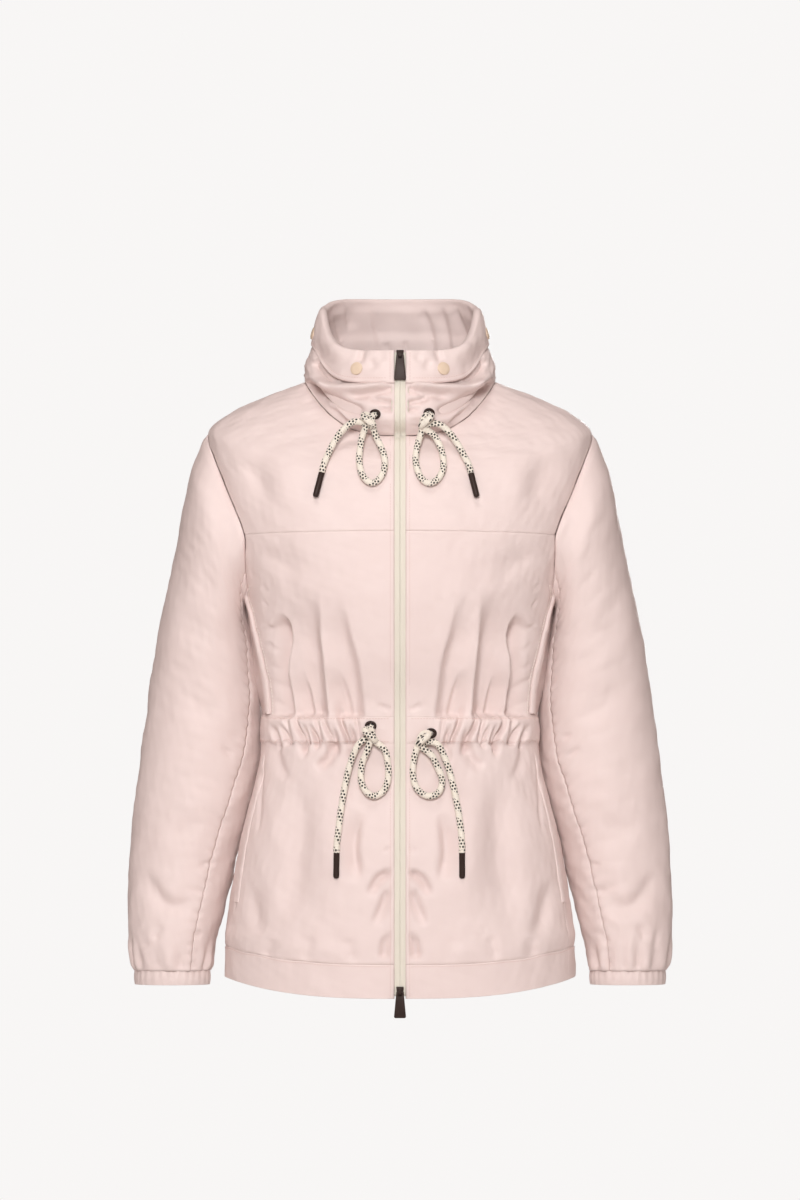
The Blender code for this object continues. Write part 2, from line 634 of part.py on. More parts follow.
def collar_angles(station):
    """Angles round the collar at the corners of the yokes and the back, so that the neck seam meets."""
    zip_angle = angle_at_x(ring_at(COLLAR, station), ZIP_OPEN)
    front = spread(zip_angle, 90, 9)
    back = spread(90, 270, 16)
    return front + back[1:] + [360 - angle for angle in front[::-1]][1:]


def collar_place(angle, station, lift=0.0):
    normal = surface_normal(COLLAR, angle, station)
    return surface_point(COLLAR, angle, station) + normal * lift, normal


def collar_lift(angle, station):
    """Ruching of the drawn-in funnel, fading out at the neck seam and under the band."""
    side_angle = min(angle, 360 - angle)
    fade = ease(station / 10) * ease((BAND_LOW - station) / 6) * ease((side_angle - 10) / 8)
    return fade * fold_height(COLLAR_FOLDS, side_angle, station, 1.7, 1.0)


def make_collar():
    rows = []
    for station in COLLAR_ROWS:
        rows.append([collar_place(a, station, collar_lift(a, station)) for a in collar_angles(station)])
    seat = []
    for angle, (point, normal) in zip(collar_angles(0), rows[0]):
        inward = surface_point(TORSO, angle, NECK) - surface_point(TORSO, angle, NECK - 2)
        seat.append((point + inward.normalized() * SEAM_GAP, normal))
    rows[0] = seat
    cloth("collar_funnel", rows, trim=NO_TRIM)
    band = []
    for station in spread(BAND_LOW, RIM, 3):
        band.append([collar_place(a, station, LAYER) for a in collar_angles(station)])
    cloth("collar_band", band, trim=NO_TRIM)


def set_in_frame(obj, origin, out, up):
    """Places an object whose local -Y faces out and whose local +Z faces up."""
    across = up.cross(out).normalized()
    turn = Matrix((across, -out, out.cross(across))).transposed()
    obj.matrix_world = Matrix.Translation(origin * MM) @ turn.to_4x4()


def zip_frame(table, station):
    """Point, outward and upward direction on the centre front."""
    out = surface_normal(table, 0, station)
    across = Vector((1, 0, 0))
    return surface_point(table, 0, station), out, out.cross(across)


def tape_row(table, station):
    """The two edges of a tape at a station, behind the wall of the panels."""
    ring = ring_at(table, station)
    row = []
    for x in (TAPE_MEET, TAPE_HALF):
        angle = angle_at_x(ring, x)
        out = surface_normal(table, angle, station)
        row.append((ring_point(ring, angle) - out * TAPE_BEHIND, out))
    return row


def make_zip_tapes():
    """Two strips behind the front edges, with a row at each row of the panels that they are sewn to."""
    body_rows = sorted({TAPE_LOW, NECK - TAPE_OFF_NECK, *SKIRT_ROWS, *CHEST_ROWS, *YOKE_ROWS[:-1]})
    collar_rows = [TAPE_OFF_NECK] + [s for s in COLLAR_ROWS if TAPE_OFF_NECK < s < TAPE_HIGH] + [TAPE_HIGH]
    rows = [tape_row(TORSO, station) for station in body_rows]
    bend = []
    for (low, _), (high, _), (point, out) in zip(rows[-1], tape_row(COLLAR, collar_rows[0]), tape_row(TORSO, NECK)):
        level = (low - high).cross(Vector((1, 0, 0))).normalized()
        bend.append((point + out * TAPE_BEHIND - level * math.copysign(TAPE_NECK_BEHIND, -level.y), level))
    rows.append(bend)
    rows += [tape_row(COLLAR, station) for station in collar_rows]
    both_sides("zip_tape", rows, material="zip_tape", thick=TAPE_THICK, trim=NO_TRIM)


def block(width, thick, length, round_by):
    """A rounded block centred on the origin: width along X, thickness along Y, length along Z."""
    bm = bmesh.new()
    bmesh.ops.create_cube(bm, size=1.0)
    bmesh.ops.scale(bm, vec=Vector((width, thick, length)) * MM, verts=bm.verts[:])
    if round_by:
        upright = [e for e in bm.edges if abs(e.verts[0].co.y - e.verts[1].co.y) > 0.5 * thick * MM]
        bmesh.ops.bevel(bm, geom=upright, offset=round_by * MM, segments=2, profile=0.5, affect="EDGES")
    return bm


def bail_block():
    """The bridge on a slider that its pull hangs from: an arch along Z with both feet sunk in its front."""
    outer, inner = BAIL_LENGTH / 2, BAIL_LENGTH / 2 - BAIL_THICK
    reach, gap = BAIL_REACH, BAIL_REACH - BAIL_THICK
    outline = ((-outer, -BAIL_SINK), (-outer, reach - 1), (1 - outer, reach), (outer - 1, reach),
               (outer, reach - 1), (outer, -BAIL_SINK), (inner, -BAIL_SINK), (inner, gap),
               (-inner, gap), (-inner, -BAIL_SINK))
    bm = bmesh.new()
    corners = [bm.verts.new(Vector((-BAIL_WIDTH / 2, -out, up)) * MM) for up, out in outline]
    side = bm.faces.new(corners)
    extruded = bmesh.ops.extrude_face_region(bm, geom=[side], use_keep_orig=True)
    moved = [v for v in extruded["geom"] if isinstance(v, bmesh.types.BMVert)]
    bmesh.ops.translate(bm, vec=Vector((BAIL_WIDTH * MM, 0, 0)), verts=moved)
    return bm


def pull_tab():
    """A tab that widens downwards, with an eye round the bail; the hinge is along its top bar."""
    half_bar = PULL_BAR / 2
    heights = (-PULL_LENGTH, -half_bar - PULL_EYE_LENGTH, -half_bar, half_bar)
    bm = bmesh.new()
    bmesh.ops.create_grid(bm, x_segments=3, y_segments=3, size=0.5)
    for vert in bm.verts:
        i, j = round((vert.co.x + 0.5) * 3), round((vert.co.y + 0.5) * 3)
        z = heights[j]
        half = PULL_TOP_WIDTH / 2 + (PULL_END_WIDTH - PULL_TOP_WIDTH) / 2 * max(0.0, -z) / PULL_LENGTH
        x = (-half, -PULL_EYE_WIDTH / 2, PULL_EYE_WIDTH / 2, half)[i]
        vert.co = Vector((x, -PULL_THICK / 2, z)) * MM
    eye_middle = -half_bar - PULL_EYE_LENGTH / 2
    eye = min(bm.faces, key=lambda f: (f.calc_center_median() / MM - Vector((0, 0, eye_middle))).length)
    bmesh.ops.delete(bm, geom=[eye], context="FACES")
    extruded = bmesh.ops.extrude_face_region(bm, geom=bm.faces[:], use_keep_orig=True)
    moved = [v for v in extruded["geom"] if isinstance(v, bmesh.types.BMVert)]
    bmesh.ops.translate(bm, vec=Vector((0, PULL_THICK * MM, 0)), verts=moved)
    low_corners = [e for e in bm.edges if all(abs(v.co.z + PULL_LENGTH * MM) < MM / 10 for v in e.verts)
                   and all(abs(v.co.x) > PULL_EYE_WIDTH * MM for v in e.verts)
                   and e.verts[0].co.x * e.verts[1].co.x > 0
                   and abs(e.verts[0].co.y - e.verts[1].co.y) > MM / 10]
    bmesh.ops.bevel(bm, geom=low_corners, offset=PULL_ROUND * MM, segments=3, profile=0.5, affect="EDGES")
    return bm


def make_slider(where, table, station):
    """A slider on the tape with its bail, and its pull hanging from the bail."""
    middle, out, up = zip_frame(table, station)
    slider = add_object("zip_slider_" + where, block(SLIDER_WIDTH, SLIDER_THICK, SLIDER_LENGTH, SLIDER_ROUND),
                        "dark_metal")
    set_in_frame(slider, middle + out * (SLIDER_BACK + SLIDER_THICK / 2), out, up)
    bail = add_object("bail_cutter_" + where, bail_block(), "dark_metal")
    front = SLIDER_BACK + SLIDER_THICK
    set_in_frame(bail, middle + out * front, out, up)
    bail.hide_render = True
    bail.display_type = "WIRE"
    union = slider.modifiers.new("bail", "BOOLEAN")
    union.operation = "UNION"
    union.solver = "EXACT"
    union.object = bail
    pull = add_object("zip_pull_" + where, pull_tab(), "dark_metal")
    hinge_out = front + (BAIL_REACH - BAIL_THICK) / 2
    bar_reach = math.hypot(PULL_THICK, PULL_BAR) / 2
    hinge_up = -(BAIL_LENGTH / 2 - BAIL_THICK - bar_reach - PULL_CLEARANCE)
    set_in_frame(pull, middle + out * hinge_out + up * hinge_up, out, up)


def make_zip():
    make_zip_tapes()
    make_slider("top", COLLAR, TOP_SLIDER_STATION)
    make_slider("bottom", TORSO, BOTTOM_SLIDER_STATION)


def eyelet_ring():
    """An oval ring in the XZ plane, with a low rounded rim."""
    bm = bmesh.new()
    rim = bmesh.ops.create_circle(bm, segments=6, radius=1.0)["verts"]
    for vert in rim:
        vert.co = Vector((1.0 + vert.co.x * EYELET_RIM / EYELET_HALF_WIDTH, vert.co.y * EYELET_RIM_HEIGHT, 0))
    bmesh.ops.spin(bm, geom=bm.verts[:] + bm.edges[:], cent=(0, 0, 0), axis=(0, 1, 0),
                   angle=math.tau, steps=14, use_merge=True)
    size = Vector((EYELET_HALF_WIDTH, 1.0, EYELET_HALF_HEIGHT)) * MM
    bmesh.ops.scale(bm, vec=size, verts=bm.verts[:])
    return bm


def snap_cap():
    """A low domed cap whose flat back lies in the XZ plane."""
    bm = bmesh.new()
    bmesh.ops.create_cone(bm, cap_ends=True, segments=14, radius1=SNAP_RADIUS * MM,
                          radius2=SNAP_TOP_RADIUS * MM, depth=SNAP_HEIGHT * MM)
    bmesh.ops.translate(bm, vec=(0, 0, SNAP_HEIGHT / 2 * MM), verts=bm.verts[:])
    bmesh.ops.rotate(bm, cent=(0, 0, 0), matrix=Matrix.Rotation(math.pi / 2, 3, "X"), verts=bm.verts[:])
    return bm


def upward(out):
    """The direction up a surface whose outward normal is out."""
    return (Vector((0, 0, 1)) - out * out.z).normalized()


def make_snaps():
    for place, angle, station in SNAP_PLACES:
        for side, turned in (("right", angle), ("left", 360 - angle)):
            point, out = collar_place(turned, station, LAYER + SNAP_LIFT)
            snap = add_object(f"snap_{place}_{side}", snap_cap(), "snap_cap")
            set_in_frame(snap, point, out, upward(out))


def smooth_route(points, step):
    """Points at an even spacing on a smooth curve through the route's own points."""
    run = [0.0]
    for a, b in zip(points, points[1:]):
        run.append(run[-1] + (Vector(b) - Vector(a)).length)
    count = max(3, round(run[-1] / step))
    slopes = []
    for i in range(len(points)):
        a, b = max(i - 1, 0), min(i + 1, len(points) - 1)
        slopes.append((Vector(points[b]) - Vector(points[a])) / (run[b] - run[a]))
    line = []
    for k in range(count + 1):
        at = run[-1] * k / count
        i = min(max(j for j in range(len(run)) if run[j] <= at + 1e-9), len(points) - 2)
        h = run[i + 1] - run[i]
        t = (at - run[i]) / h
        a, b = Vector(points[i]), Vector(points[i + 1])
        line.append(a * (2 * t ** 3 - 3 * t ** 2 + 1) + b * (3 * t ** 2 - 2 * t ** 3)
                    + slopes[i] * h * (t ** 3 - 2 * t ** 2 + t) + slopes[i + 1] * h * (t ** 3 - t ** 2))
    return line


def cord_tube(name, points):
    """A round cord along a route, with closed ends."""
    curve = bpy.data.curves.new(name, "CURVE")
    curve.dimensions = "3D"
    curve.bevel_depth = CORD_RADIUS * MM
    curve.bevel_resolution = 2
    curve.use_fill_caps = True
    line = smooth_route(points, CORD_STEP)
    run = curve.splines.new("POLY")
    run.points.add(len(line) - 1)
    for place, point in zip(run.points, line):
        place.co = (*(point * MM), 1.0)
    curve.materials.append(finish("cord_braid"))
    obj = bpy.data.objects.new(name, curve)
    bpy.context.scene.collection.objects.link(obj)


def knot_edge(knot, toward):
    """Where a cord that runs towards a point leaves the knot."""
    direction = Vector(toward) - Vector(knot)
    stretched = Vector((direction.x / KNOT_RADIUS, direction.y / KNOT_HALF_DEPTH, direction.z / KNOT_RADIUS))
    return Vector(knot) + direction / stretched.length + direction.normalized() * KNOT_GAP


def make_knot(name, centre):
    """The tied lump of a drawstring, rounded and flattened towards the cloth."""
    bm = bmesh.new()
    bmesh.ops.create_uvsphere(bm, u_segments=10, v_segments=6, radius=1.0)
    size = Vector((KNOT_RADIUS, KNOT_HALF_DEPTH, KNOT_RADIUS)) * MM
    bmesh.ops.scale(bm, vec=size, verts=bm.verts[:])
    knot = add_object(name, bm, "cord_braid")
    knot.location = Vector(centre) * MM


def make_aglet(name, start, end):
    """A metal tube with a rounded tip, from the cord's end on."""
    axis = Vector(end) - Vector(start)
    length = axis.length
    bm = bmesh.new()
    bmesh.ops.create_cone(bm, cap_ends=True, segments=10, radius1=AGLET_RADIUS * MM,
                          radius2=AGLET_RADIUS * MM, depth=length * MM)
    bmesh.ops.translate(bm, vec=(0, 0, length / 2 * MM), verts=bm.verts[:])
    tip = [e for e in bm.edges if all(v.co.z > (length - AGLET_TIP) * MM for v in e.verts)]
    bmesh.ops.bevel(bm, geom=tip, offset=AGLET_TIP / 2 * MM, segments=2, profile=0.5, affect="EDGES")
    aglet = add_object(name, bm, "dark_metal")
    aglet.matrix_world = Matrix.Translation(Vector(start) * MM) @ axis.to_track_quat("Z", "Y").to_matrix().to_4x4()


def make_drawstring(string):
    turned = string.angle if string.side > 0 else 360 - string.angle
    if string.sheet == "collar":
        lift = collar_lift(turned, string.station)
        point, out = collar_place(turned, string.station, lift + EYELET_RIM_HEIGHT + EYELET_LIFT)
    else:
        point, out = body_place(turned, string.station, EYELET_RIM_HEIGHT + EYELET_LIFT)
    eyelet = add_object("eyelet_" + string.name, eyelet_ring(), "dark_metal")
    set_in_frame(eyelet, point, out, upward(out))
    make_knot("knot_" + string.name, string.knot)
    leaves = knot_edge(string.knot, string.loop[0])
    returns = knot_edge(string.knot, string.loop[-1])
    cord_tube("loop_" + string.name, [leaves, *string.loop, returns])
    start, end = Vector(string.aglet[0]), Vector(string.aglet[1])
    along = (end - start).normalized()
    tail = [knot_edge(string.knot, string.tail[0]), *string.tail, start - along * CORD_STEP,
            start - along * SEAM_GAP]
    cord_tube("tail_" + string.name, tail)
    make_aglet("aglet_" + string.name, start, end)


def main():
    for obj in list(bpy.data.objects):
        bpy.data.objects.remove(obj, do_unlink=True)
    make_body()
    make_waist_channel()
    make_side_strips()
    make_sleeves()
    make_cuffs()
    make_collar()
    make_zip()
    make_snaps()
    for string in DRAWSTRINGS:
        make_drawstring(string)


main()
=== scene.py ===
import math
import bpy
import bmesh
import numpy as np
from mathutils import Matrix, Vector


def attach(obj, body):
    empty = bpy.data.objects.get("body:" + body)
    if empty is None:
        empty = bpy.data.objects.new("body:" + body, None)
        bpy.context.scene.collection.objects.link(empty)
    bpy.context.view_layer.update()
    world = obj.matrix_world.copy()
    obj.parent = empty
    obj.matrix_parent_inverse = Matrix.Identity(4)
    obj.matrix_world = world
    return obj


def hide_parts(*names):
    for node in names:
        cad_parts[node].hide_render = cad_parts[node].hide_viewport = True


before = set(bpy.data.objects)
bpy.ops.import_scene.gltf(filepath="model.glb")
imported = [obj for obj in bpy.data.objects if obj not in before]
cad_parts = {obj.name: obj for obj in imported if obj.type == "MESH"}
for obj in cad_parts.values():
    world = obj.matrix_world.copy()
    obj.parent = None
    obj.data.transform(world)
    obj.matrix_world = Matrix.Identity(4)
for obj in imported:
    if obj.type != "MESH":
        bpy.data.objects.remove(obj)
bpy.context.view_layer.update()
scene = bpy.context.scene
mm = 0.001
print("frame:", len(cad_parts), "nodes")

view = {"distance": 12000.0, "height": -236.5, "frameHeight": 1320.0}  # camera, in millimetres
hemSeam, channelLow, channelTop, yokeSeam, neckSeam = 38, 272, 301, 510, 738  # stations of the seams round the body
clothEdge, stitchLine = 6.0, 10.6  # the front's edge and its stitches, from the centre front
bodyDegree, collarDegree, sleeveLength = 2.4, 1.7, 590  # millimetres round for one degree, and down the sleeve

# station, z front, z side, z back, half width, front, back, square, rise, back rise
torso = np.array([
    (0, -671, -650, -655, 193, 116, 114, 2.3, 2.5, 2.0),
    (38, -634, -616, -620, 192, 116, 113, 2.3, 2.5, 2.0),
    (150, -520, -512, -512, 178, 112, 106, 2.3, 2.0, 2.0),
    (272, -393, -393, -393, 152, 97, 90, 2.25, 2.0, 2.0),
    (301, -364, -364, -364, 151, 97, 90, 2.25, 2.0, 2.0),
    (377, -288, -289, -289, 161, 113, 102, 2.3, 2.0, 2.0),
    (447, -218, -222, -222, 171, 121, 112, 2.35, 2.0, 2.0),
    (510, -161, -166, -166, 188, 119, 113, 2.4, 2.0, 2.0),
    (612, -101, -55, -62, 211, 106, 96, 2.2, 2.2, 2.0),
    (645, -88, -33, -36, 190, 100, 89, 2.15, 2.4, 2.0),
    (683, -75, -17, -15, 157, 93, 81, 2.1, 2.7, 2.0),
    (738, -57, 3, 10, 105, 82, 72, 2.0, 3.0, 2.0)], float)
collar = np.array([
    (0, -57, 3, 10, 105, 82, 72, 2.0, 3.0, 2.0),
    (26, -36, 18, 30, 105, 94, 77, 2.0, 4.0, 2.0),
    (58, 1, 43, 63, 96, 88, 74, 2.0, 6.0, 5.0),
    (98, 37, 84, 96, 84, 80, 69, 2.0, 8.0, 10.0)], float)
sideEdges = np.array([  # station, angle of the front's edge, angle of the back's edge
    (0, 72, 72), (150, 73, 73), (272, 77, 77), (301, 78, 78), (377, 77, 77), (416, 79, 79), (436, 84, 84),
    (441, 81, 92), (450, 77.5, 99), (466, 74, 107), (490, 67, 112), (510, 63, 114), (560, 70, 112),
    (590, 78, 104), (612, 90, 90), (738, 90, 90)], float)
sleeve = np.array([  # outer x, outer z, inner x, inner z, front, back, middle, seam angle
    (229, -97, 172.0, -245, 67, 69, 6, 150), (247, -185, 167.5, -263, 70, 70, 18, 150),
    (262, -257, 160.5, -293, 68, 68, 28, 148), (274, -325, 153, -345, 64, 64, 31, 143),
    (282, -385, 152.5, -396, 62, 62, 31, 137), (290, -445, 161.5, -448, 59, 59, 28, 130),
    (296.5, -510, 178, -510, 55, 55, 25, 124), (299, -570, 192, -570, 51, 51, 17, 121),
    (298, -612, 203, -612, 46, 46, 10, 120), (292, -643.5, 209, -643.5, 39, 39, 6, 120)], float)


def ease(t):
    t = np.clip(t, 0.0, 1.0)
    return t * t * (3 - 2 * t)


def bell(x, middle, width):
    return np.exp(-((x - middle) / width) ** 2)


def spread(a, s):  # angles and stations as arrays of one shape
    return np.broadcast_arrays(np.asarray(a, float), np.asarray(s, float))


def halves(a):  # the angle from the centre front on either half, and which half it is
    return np.where(a > 180, 360 - a, a), np.where(a > 180, -1, 1)


def flipped(a, side):  # an angle of the right half, on the given side
    return a if side > 0 else 360 - a


def smoothThrough(xs, ys, x):  # cubic through the points that does not overshoot
    xs, ys = np.asarray(xs, float), np.asarray(ys, float)
    x = np.clip(x, xs[0], xs[-1])
    h = np.diff(xs)
    slope = np.diff(ys) / h
    tangent = np.empty(len(xs))
    tangent[0], tangent[-1] = slope[0], slope[-1]
    product, total = slope[:-1] * slope[1:], slope[:-1] + slope[1:]
    tangent[1:-1] = np.where(product > 0, 2 * product / np.where(total == 0, 1, total), 0)
    i = np.clip(np.searchsorted(xs, x, side="right") - 1, 0, len(xs) - 2)
    t = (x - xs[i]) / h[i]
    start = ys[i] * (2 * t ** 3 - 3 * t ** 2 + 1) + h[i] * tangent[i] * (t ** 3 - 2 * t ** 2 + t)
    return start + ys[i + 1] * (3 * t ** 2 - 2 * t ** 3) + h[i] * tangent[i + 1] * (t ** 3 - t ** 2)


def ringPoint(table, a, s):  # point at an angle from the centre front, at a station up the cloth
    a, s = spread(a, s)
    zFront, zSide, zBack, half, front, back, square, rise, backRise = (
        smoothThrough(table[:, 0], table[:, k], s) for k in range(1, 10))
    sine, cosine = np.sin(np.radians(a)), np.cos(np.radians(a))
    across = np.sign(sine) * np.abs(sine) ** (2 / square)
    along = np.sign(cosine) * np.abs(cosine) ** (2 / square)
    facing = cosine > 0
    middle = np.where(facing, zFront, zBack)
    climb = np.abs(sine) ** np.where(facing, rise, backRise)
    return np.stack([half * across, -np.where(facing, front, back) * along, middle + (zSide - middle) * climb], -1)


def unit(v):
    return v / np.maximum(np.linalg.norm(v, axis=-1, keepdims=True), 1e-9)


def ringNormal(table, a, s):
    a, s = spread(a, s)
    around = ringPoint(table, a + 0.5, s) - ringPoint(table, a - 0.5, s)
    up = ringPoint(table, a, np.minimum(s + 1, table[-1, 0])) - ringPoint(table, a, np.maximum(s - 1, table[0, 0]))
    return unit(np.cross(around, up))


def surface(table, a, s):
    return ringPoint(table, a, s), ringNormal(table, a, s)


def angleAtX(table, x, s):
    half = smoothThrough(table[:, 0], table[:, 4], s)
    square = smoothThrough(table[:, 0], table[:, 7], s)
    return np.degrees(np.arcsin((x / half) ** (square / 2)))


def frontEdge(s):
    return smoothThrough(sideEdges[:, 0], sideEdges[:, 1], s)


def backEdge(s):
    return smoothThrough(sideEdges[:, 0], sideEdges[:, 2], s)


def frontView(p):  # x and z as the camera in front sees them
    k = view["distance"] / (view["distance"] + p[..., 1])
    return p[..., 0] * k, (p[..., 2] - view["height"]) * k + view["height"]


def rounded(path, parts=5):  # a route with its corners rounded
    if len(path) < 3:
        return path
    p = np.array([path[0], *path, path[-1]], float)
    points = []
    for before, here, after, beyond in zip(p, p[1:], p[2:], p[3:]):
        slope, bend = after - before, 2 * before - 5 * here + 4 * after - beyond
        twist = 3 * here - before - 3 * after + beyond
        for f in np.arange(parts) / parts:
            points.append(0.5 * (2 * here + slope * f + bend * f * f + twist * f ** 3))
    return [tuple(q) for q in points] + [tuple(path[-1])]


creaseLook = {"softReach": 2.8, "stepReach": 5.0, "stepFade": 1.6, "uneven": 0.22}


def creaseLift(x, z, path, widths, depth, taper):
    # soft trough or ridge along a path; the first width is on the left of its direction
    route = rounded(path)
    reach = creaseLook["softReach" if widths[1] else "stepReach"] * max(widths)
    (lowX, lowZ), (highX, highZ) = np.min(route, 0) - reach, np.max(route, 0) + reach
    near = (x > lowX) & (x < highX) & (z > lowZ) & (z < highZ)
    total = np.zeros(x.shape)
    px, pz = x[near], z[near]
    nearest = np.full(px.shape, 1e9)
    side, along = np.zeros(px.shape), np.zeros(px.shape)
    lengths = [math.dist(p, q) for p, q in zip(route, route[1:])]
    run, whole = 0.0, sum(lengths)
    for (ax, az), (bx, bz), length in zip(route, route[1:], lengths):
        ex, ez = bx - ax, bz - az
        t = np.clip(((px - ax) * ex + (pz - az) * ez) / length ** 2, 0, 1)
        ox, oz = px - (ax + ex * t), pz - (az + ez * t)
        distance = np.hypot(ox, oz)
        closer = distance < nearest
        nearest = np.where(closer, distance, nearest)
        side = np.where(closer, ex * oz - ez * ox, side)
        along = np.where(closer, (run + t * length) / whole, along)
        run += length
    width = np.where(side > 0, widths[0], widths[1])
    fade = np.ones(px.shape)
    if taper[0]:
        fade = fade * ease(along / taper[0])
    if taper[1]:
        fade = fade * ease((1 - along) / taper[1])
    if widths[1]:
        total[near] = depth * bell(nearest, 0, width) * fade
    else:  # a sharp step on the path that fades out on its left
        share = nearest / widths[0]
        ramp = np.where(share < 1, share * np.exp((1 - share ** 2) / 2), bell(share, 1, creaseLook["stepFade"]))
        total[near] = depth * np.where(side > 0, ramp, 0.0) * fade
    return total


def tableLift(x, z, side, table, gain=1.0):  # a table of creases on both halves, a little uneven from side to side
    total = np.zeros(x.shape)
    for k, (path, widths, depth, taper) in enumerate(table):
        uneven = 1 + creaseLook["uneven"] * np.where(side > 0, math.sin(2.1 * k + 0.4), math.sin(1.3 * k + 2.0))
        total = total + gain * uneven * creaseLift(x, z, path, widths, depth, taper)
    return total


def ripple(u, v, size, seed, count=9):  # slight crumple of light cloth
    chance = np.random.default_rng(seed)
    total = 0.0
    for _ in range(count):
        turn, wave = chance.uniform(0, math.tau), math.tau / (size * chance.uniform(0.6, 1.7))
        total = total + np.sin((u * math.cos(turn) + v * math.sin(turn)) * wave + chance.uniform(0, math.tau))
    return total / math.sqrt(count)


def scaled(table, x, z=1):  # a table of creases with its paths in other units
    return [([(px * x, pz * z) for px, pz in path], *rest) for path, *rest in table]


# creases by distance from the centre front and height, both halves alike
chestSteps = [  # folds with a sharp inner edge
    ([(133, -247), (125, -260), (123, -282), (126, -315), (119, -372)], (11, 0), -8.5, (0.2, 0)),
    ([(88, -222), (88, -269), (84.5, -307), (78, -372)], (15, 0), -10.5, (0.45, 0)),
    ([(63, -226), (55, -269), (45, -307), (37, -372)], (12, 0), -8.5, (0.45, 0)),
    ([(70, -306), (58, -340), (50, -372)], (7, 0), -3.8, (0.5, 0)),
    ([(112, -314), (104, -345), (99, -372)], (7, 0), -3.6, (0.5, 0)),
]
chestCreases = [
    ([(143, -258), (136, -264), (134, -292)], (10, 8), -3.6, (0.3, 0.5)),
    ([(152, -178), (128, -197), (98, -214)], (10, 15), -4.0, (0.3, 0.5)),
    ([(151, -221), (143, -230)], (2.4, 1.8), -1.5, (0, 0.6)),
    ([(150, -238), (144, -246)], (2.2, 1.6), -1.3, (0, 0.6)),
    ([(148, -264), (141, -273)], (2.6, 2.0), -1.3, (0, 0.6)),
    ([(147, -286), (136, -298)], (3.0, 2.0), -1.9, (0, 0.6)),
    ([(145, -309), (137, -318)], (2.4, 1.8), -1.5, (0, 0.6)),
    ([(143, -326), (131, -344)], (3.4, 2.0), -2.1, (0, 0.6)),
    ([(141, -349), (134, -358)], (2.4, 1.8), -1.8, (0, 0.6)),
    ([(26, -352), (11, -357)], (2.2, 2.8), -2.2, (0.4, 0)),
]
yokeCreases = [
    ([(170, -70), (158, -105), (140, -140)], (13, 16), -4.5, (0.4, 0.4)),
    ([(120, -60), (128, -100), (122, -150)], (16, 18), 3.0, (0.4, 0.4)),
    ([(60, -85), (75, -120), (70, -158)], (18, 18), -2.4, (0.4, 0.4)),
]
skirtCreases = [
    ([(10, -509), (18, -516)], (2.4, 2.2), -2.0, (0, 0.6)),
    ([(11, -535), (25, -542), (36, -563)], (2.6, 7), -5.8, (0, 0.4)),
    ([(13, -552), (22, -577), (31, -597)], (3, 8), -5.8, (0.2, 0.4)),
    ([(10, -605), (17, -614), (19, -633)], (3.2, 8), -5.2, (0, 0.2)),
    ([(44, -466), (51, -511), (43, -548)], (12, 5), -5.6, (0.4, 0.3)),
    ([(76, -391), (80, -409), (95, -420)], (3.2, 7), -5.0, (0.1, 0.3)),
    ([(110, -420), (113, -522), (121, -602)], (18, 16), -5.4, (0.3, 0.3)),
    ([(78, -440), (74, -520), (70, -590)], (16, 18), 3.2, (0.4, 0.4)),
    ([(138, -396), (132, -420), (120, -440)], (6, 5), -3.4, (0, 0.5)),
    ([(108, -394), (104, -412)], (4, 3), -3.0, (0, 0.6)),
    ([(52, -394), (54, -420)], (4, 4), -2.6, (0, 0.6)),
    ([(152, -416), (157, -505)], (2.0, 2.6), -1.8, (0.2, 0.4)),
    ([(165, -540), (158, -590), (140, -606)], (7, 9), -4.0, (0.4, 0.4)),
    ([(98, -604), (104, -624)], (6, 8), -1.8, (0.5, 0)),
    ([(60, -606), (54, -626)], (7, 8), -1.6, (0.5, 0)),
    ([(140, -606), (146, -624)], (6, 7), -1.8, (0.5, 0)),
]
gathers = [  # of the waist channel: place at the top edge, lean, depth, reach above, reach below
    (141, 5, 4.2, 9, 9), (133, 8, 5.2, 6, 5), (125.5, 4, 3.6, 18, 6), (117, 10, 5.8, 12, 14), (107.5, 5, 3.8, 5, 5),
    (101, 8, 5.4, 9, 8), (92, 4, 3.4, 16, 4), (86, 11, 5.8, 11, 13), (76, 5, 4.2, 6, 16), (67, 9, 5.2, 17, 7),
    (57, 6, 3.8, 8, 10), (48, 5, 2.8, 12, 4)]
backCreases = scaled([  # by angle and station
    ([(112, 392), (116, 300)], (8, 12), -5.5, (0.4, 0)),
    ([(131, 420), (134, 300)], (12, 8), -5.0, (0.4, 0)),
    ([(152, 395), (150, 300)], (8, 12), -4.5, (0.4, 0)),
    ([(168, 430), (166, 300)], (12, 9), -4.5, (0.4, 0)),
    ([(120, 520), (150, 430)], (14, 16), -3.0, (0.4, 0.4)),
    ([(142, 345), (143, 300)], (5, 4), -3.0, (0.4, 0)),
    ([(104, 274), (100, 120)], (12, 10), -4.0, (0, 0.4)),
    ([(128, 274), (130, 150)], (10, 13), -5.0, (0, 0.4)),
    ([(150, 274), (153, 110)], (13, 10), -4.5, (0, 0.4)),
    ([(169, 274), (168, 170)], (9, 11), -4.0, (0, 0.4)),
    ([(160, 700), (140, 640)], (14, 16), -2.2, (0.4, 0.4)),
], bodyDegree)
gatherLook = {"top": -364, "low": -393, "short": -371, "bend": -375, "foot": -390, "widths": (2.1, 3.2), "gain": -1.25}
bodyLook = {"chestGain": 1.8, "skirtGain": 1.55, "waistGain": 1.25, "backGain": 1.4, "hemRoll": 2.0, "underarm": 7.0}


def gatherTable():
    rows = []
    for place, lean, depth, above, below in gathers:
        top = gatherLook["top"] + above if above > 10 else gatherLook["short"]
        route = [(place + 0.35 * (top - gatherLook["top"]), top), (place - 0.3 * lean, gatherLook["bend"]),
                 (place - lean, gatherLook["foot"]), (place - lean - 1, gatherLook["low"] - below)]
        rows.append((route, gatherLook["widths"], gatherLook["gain"] * depth, (0.5, 0.14)))
    return rows


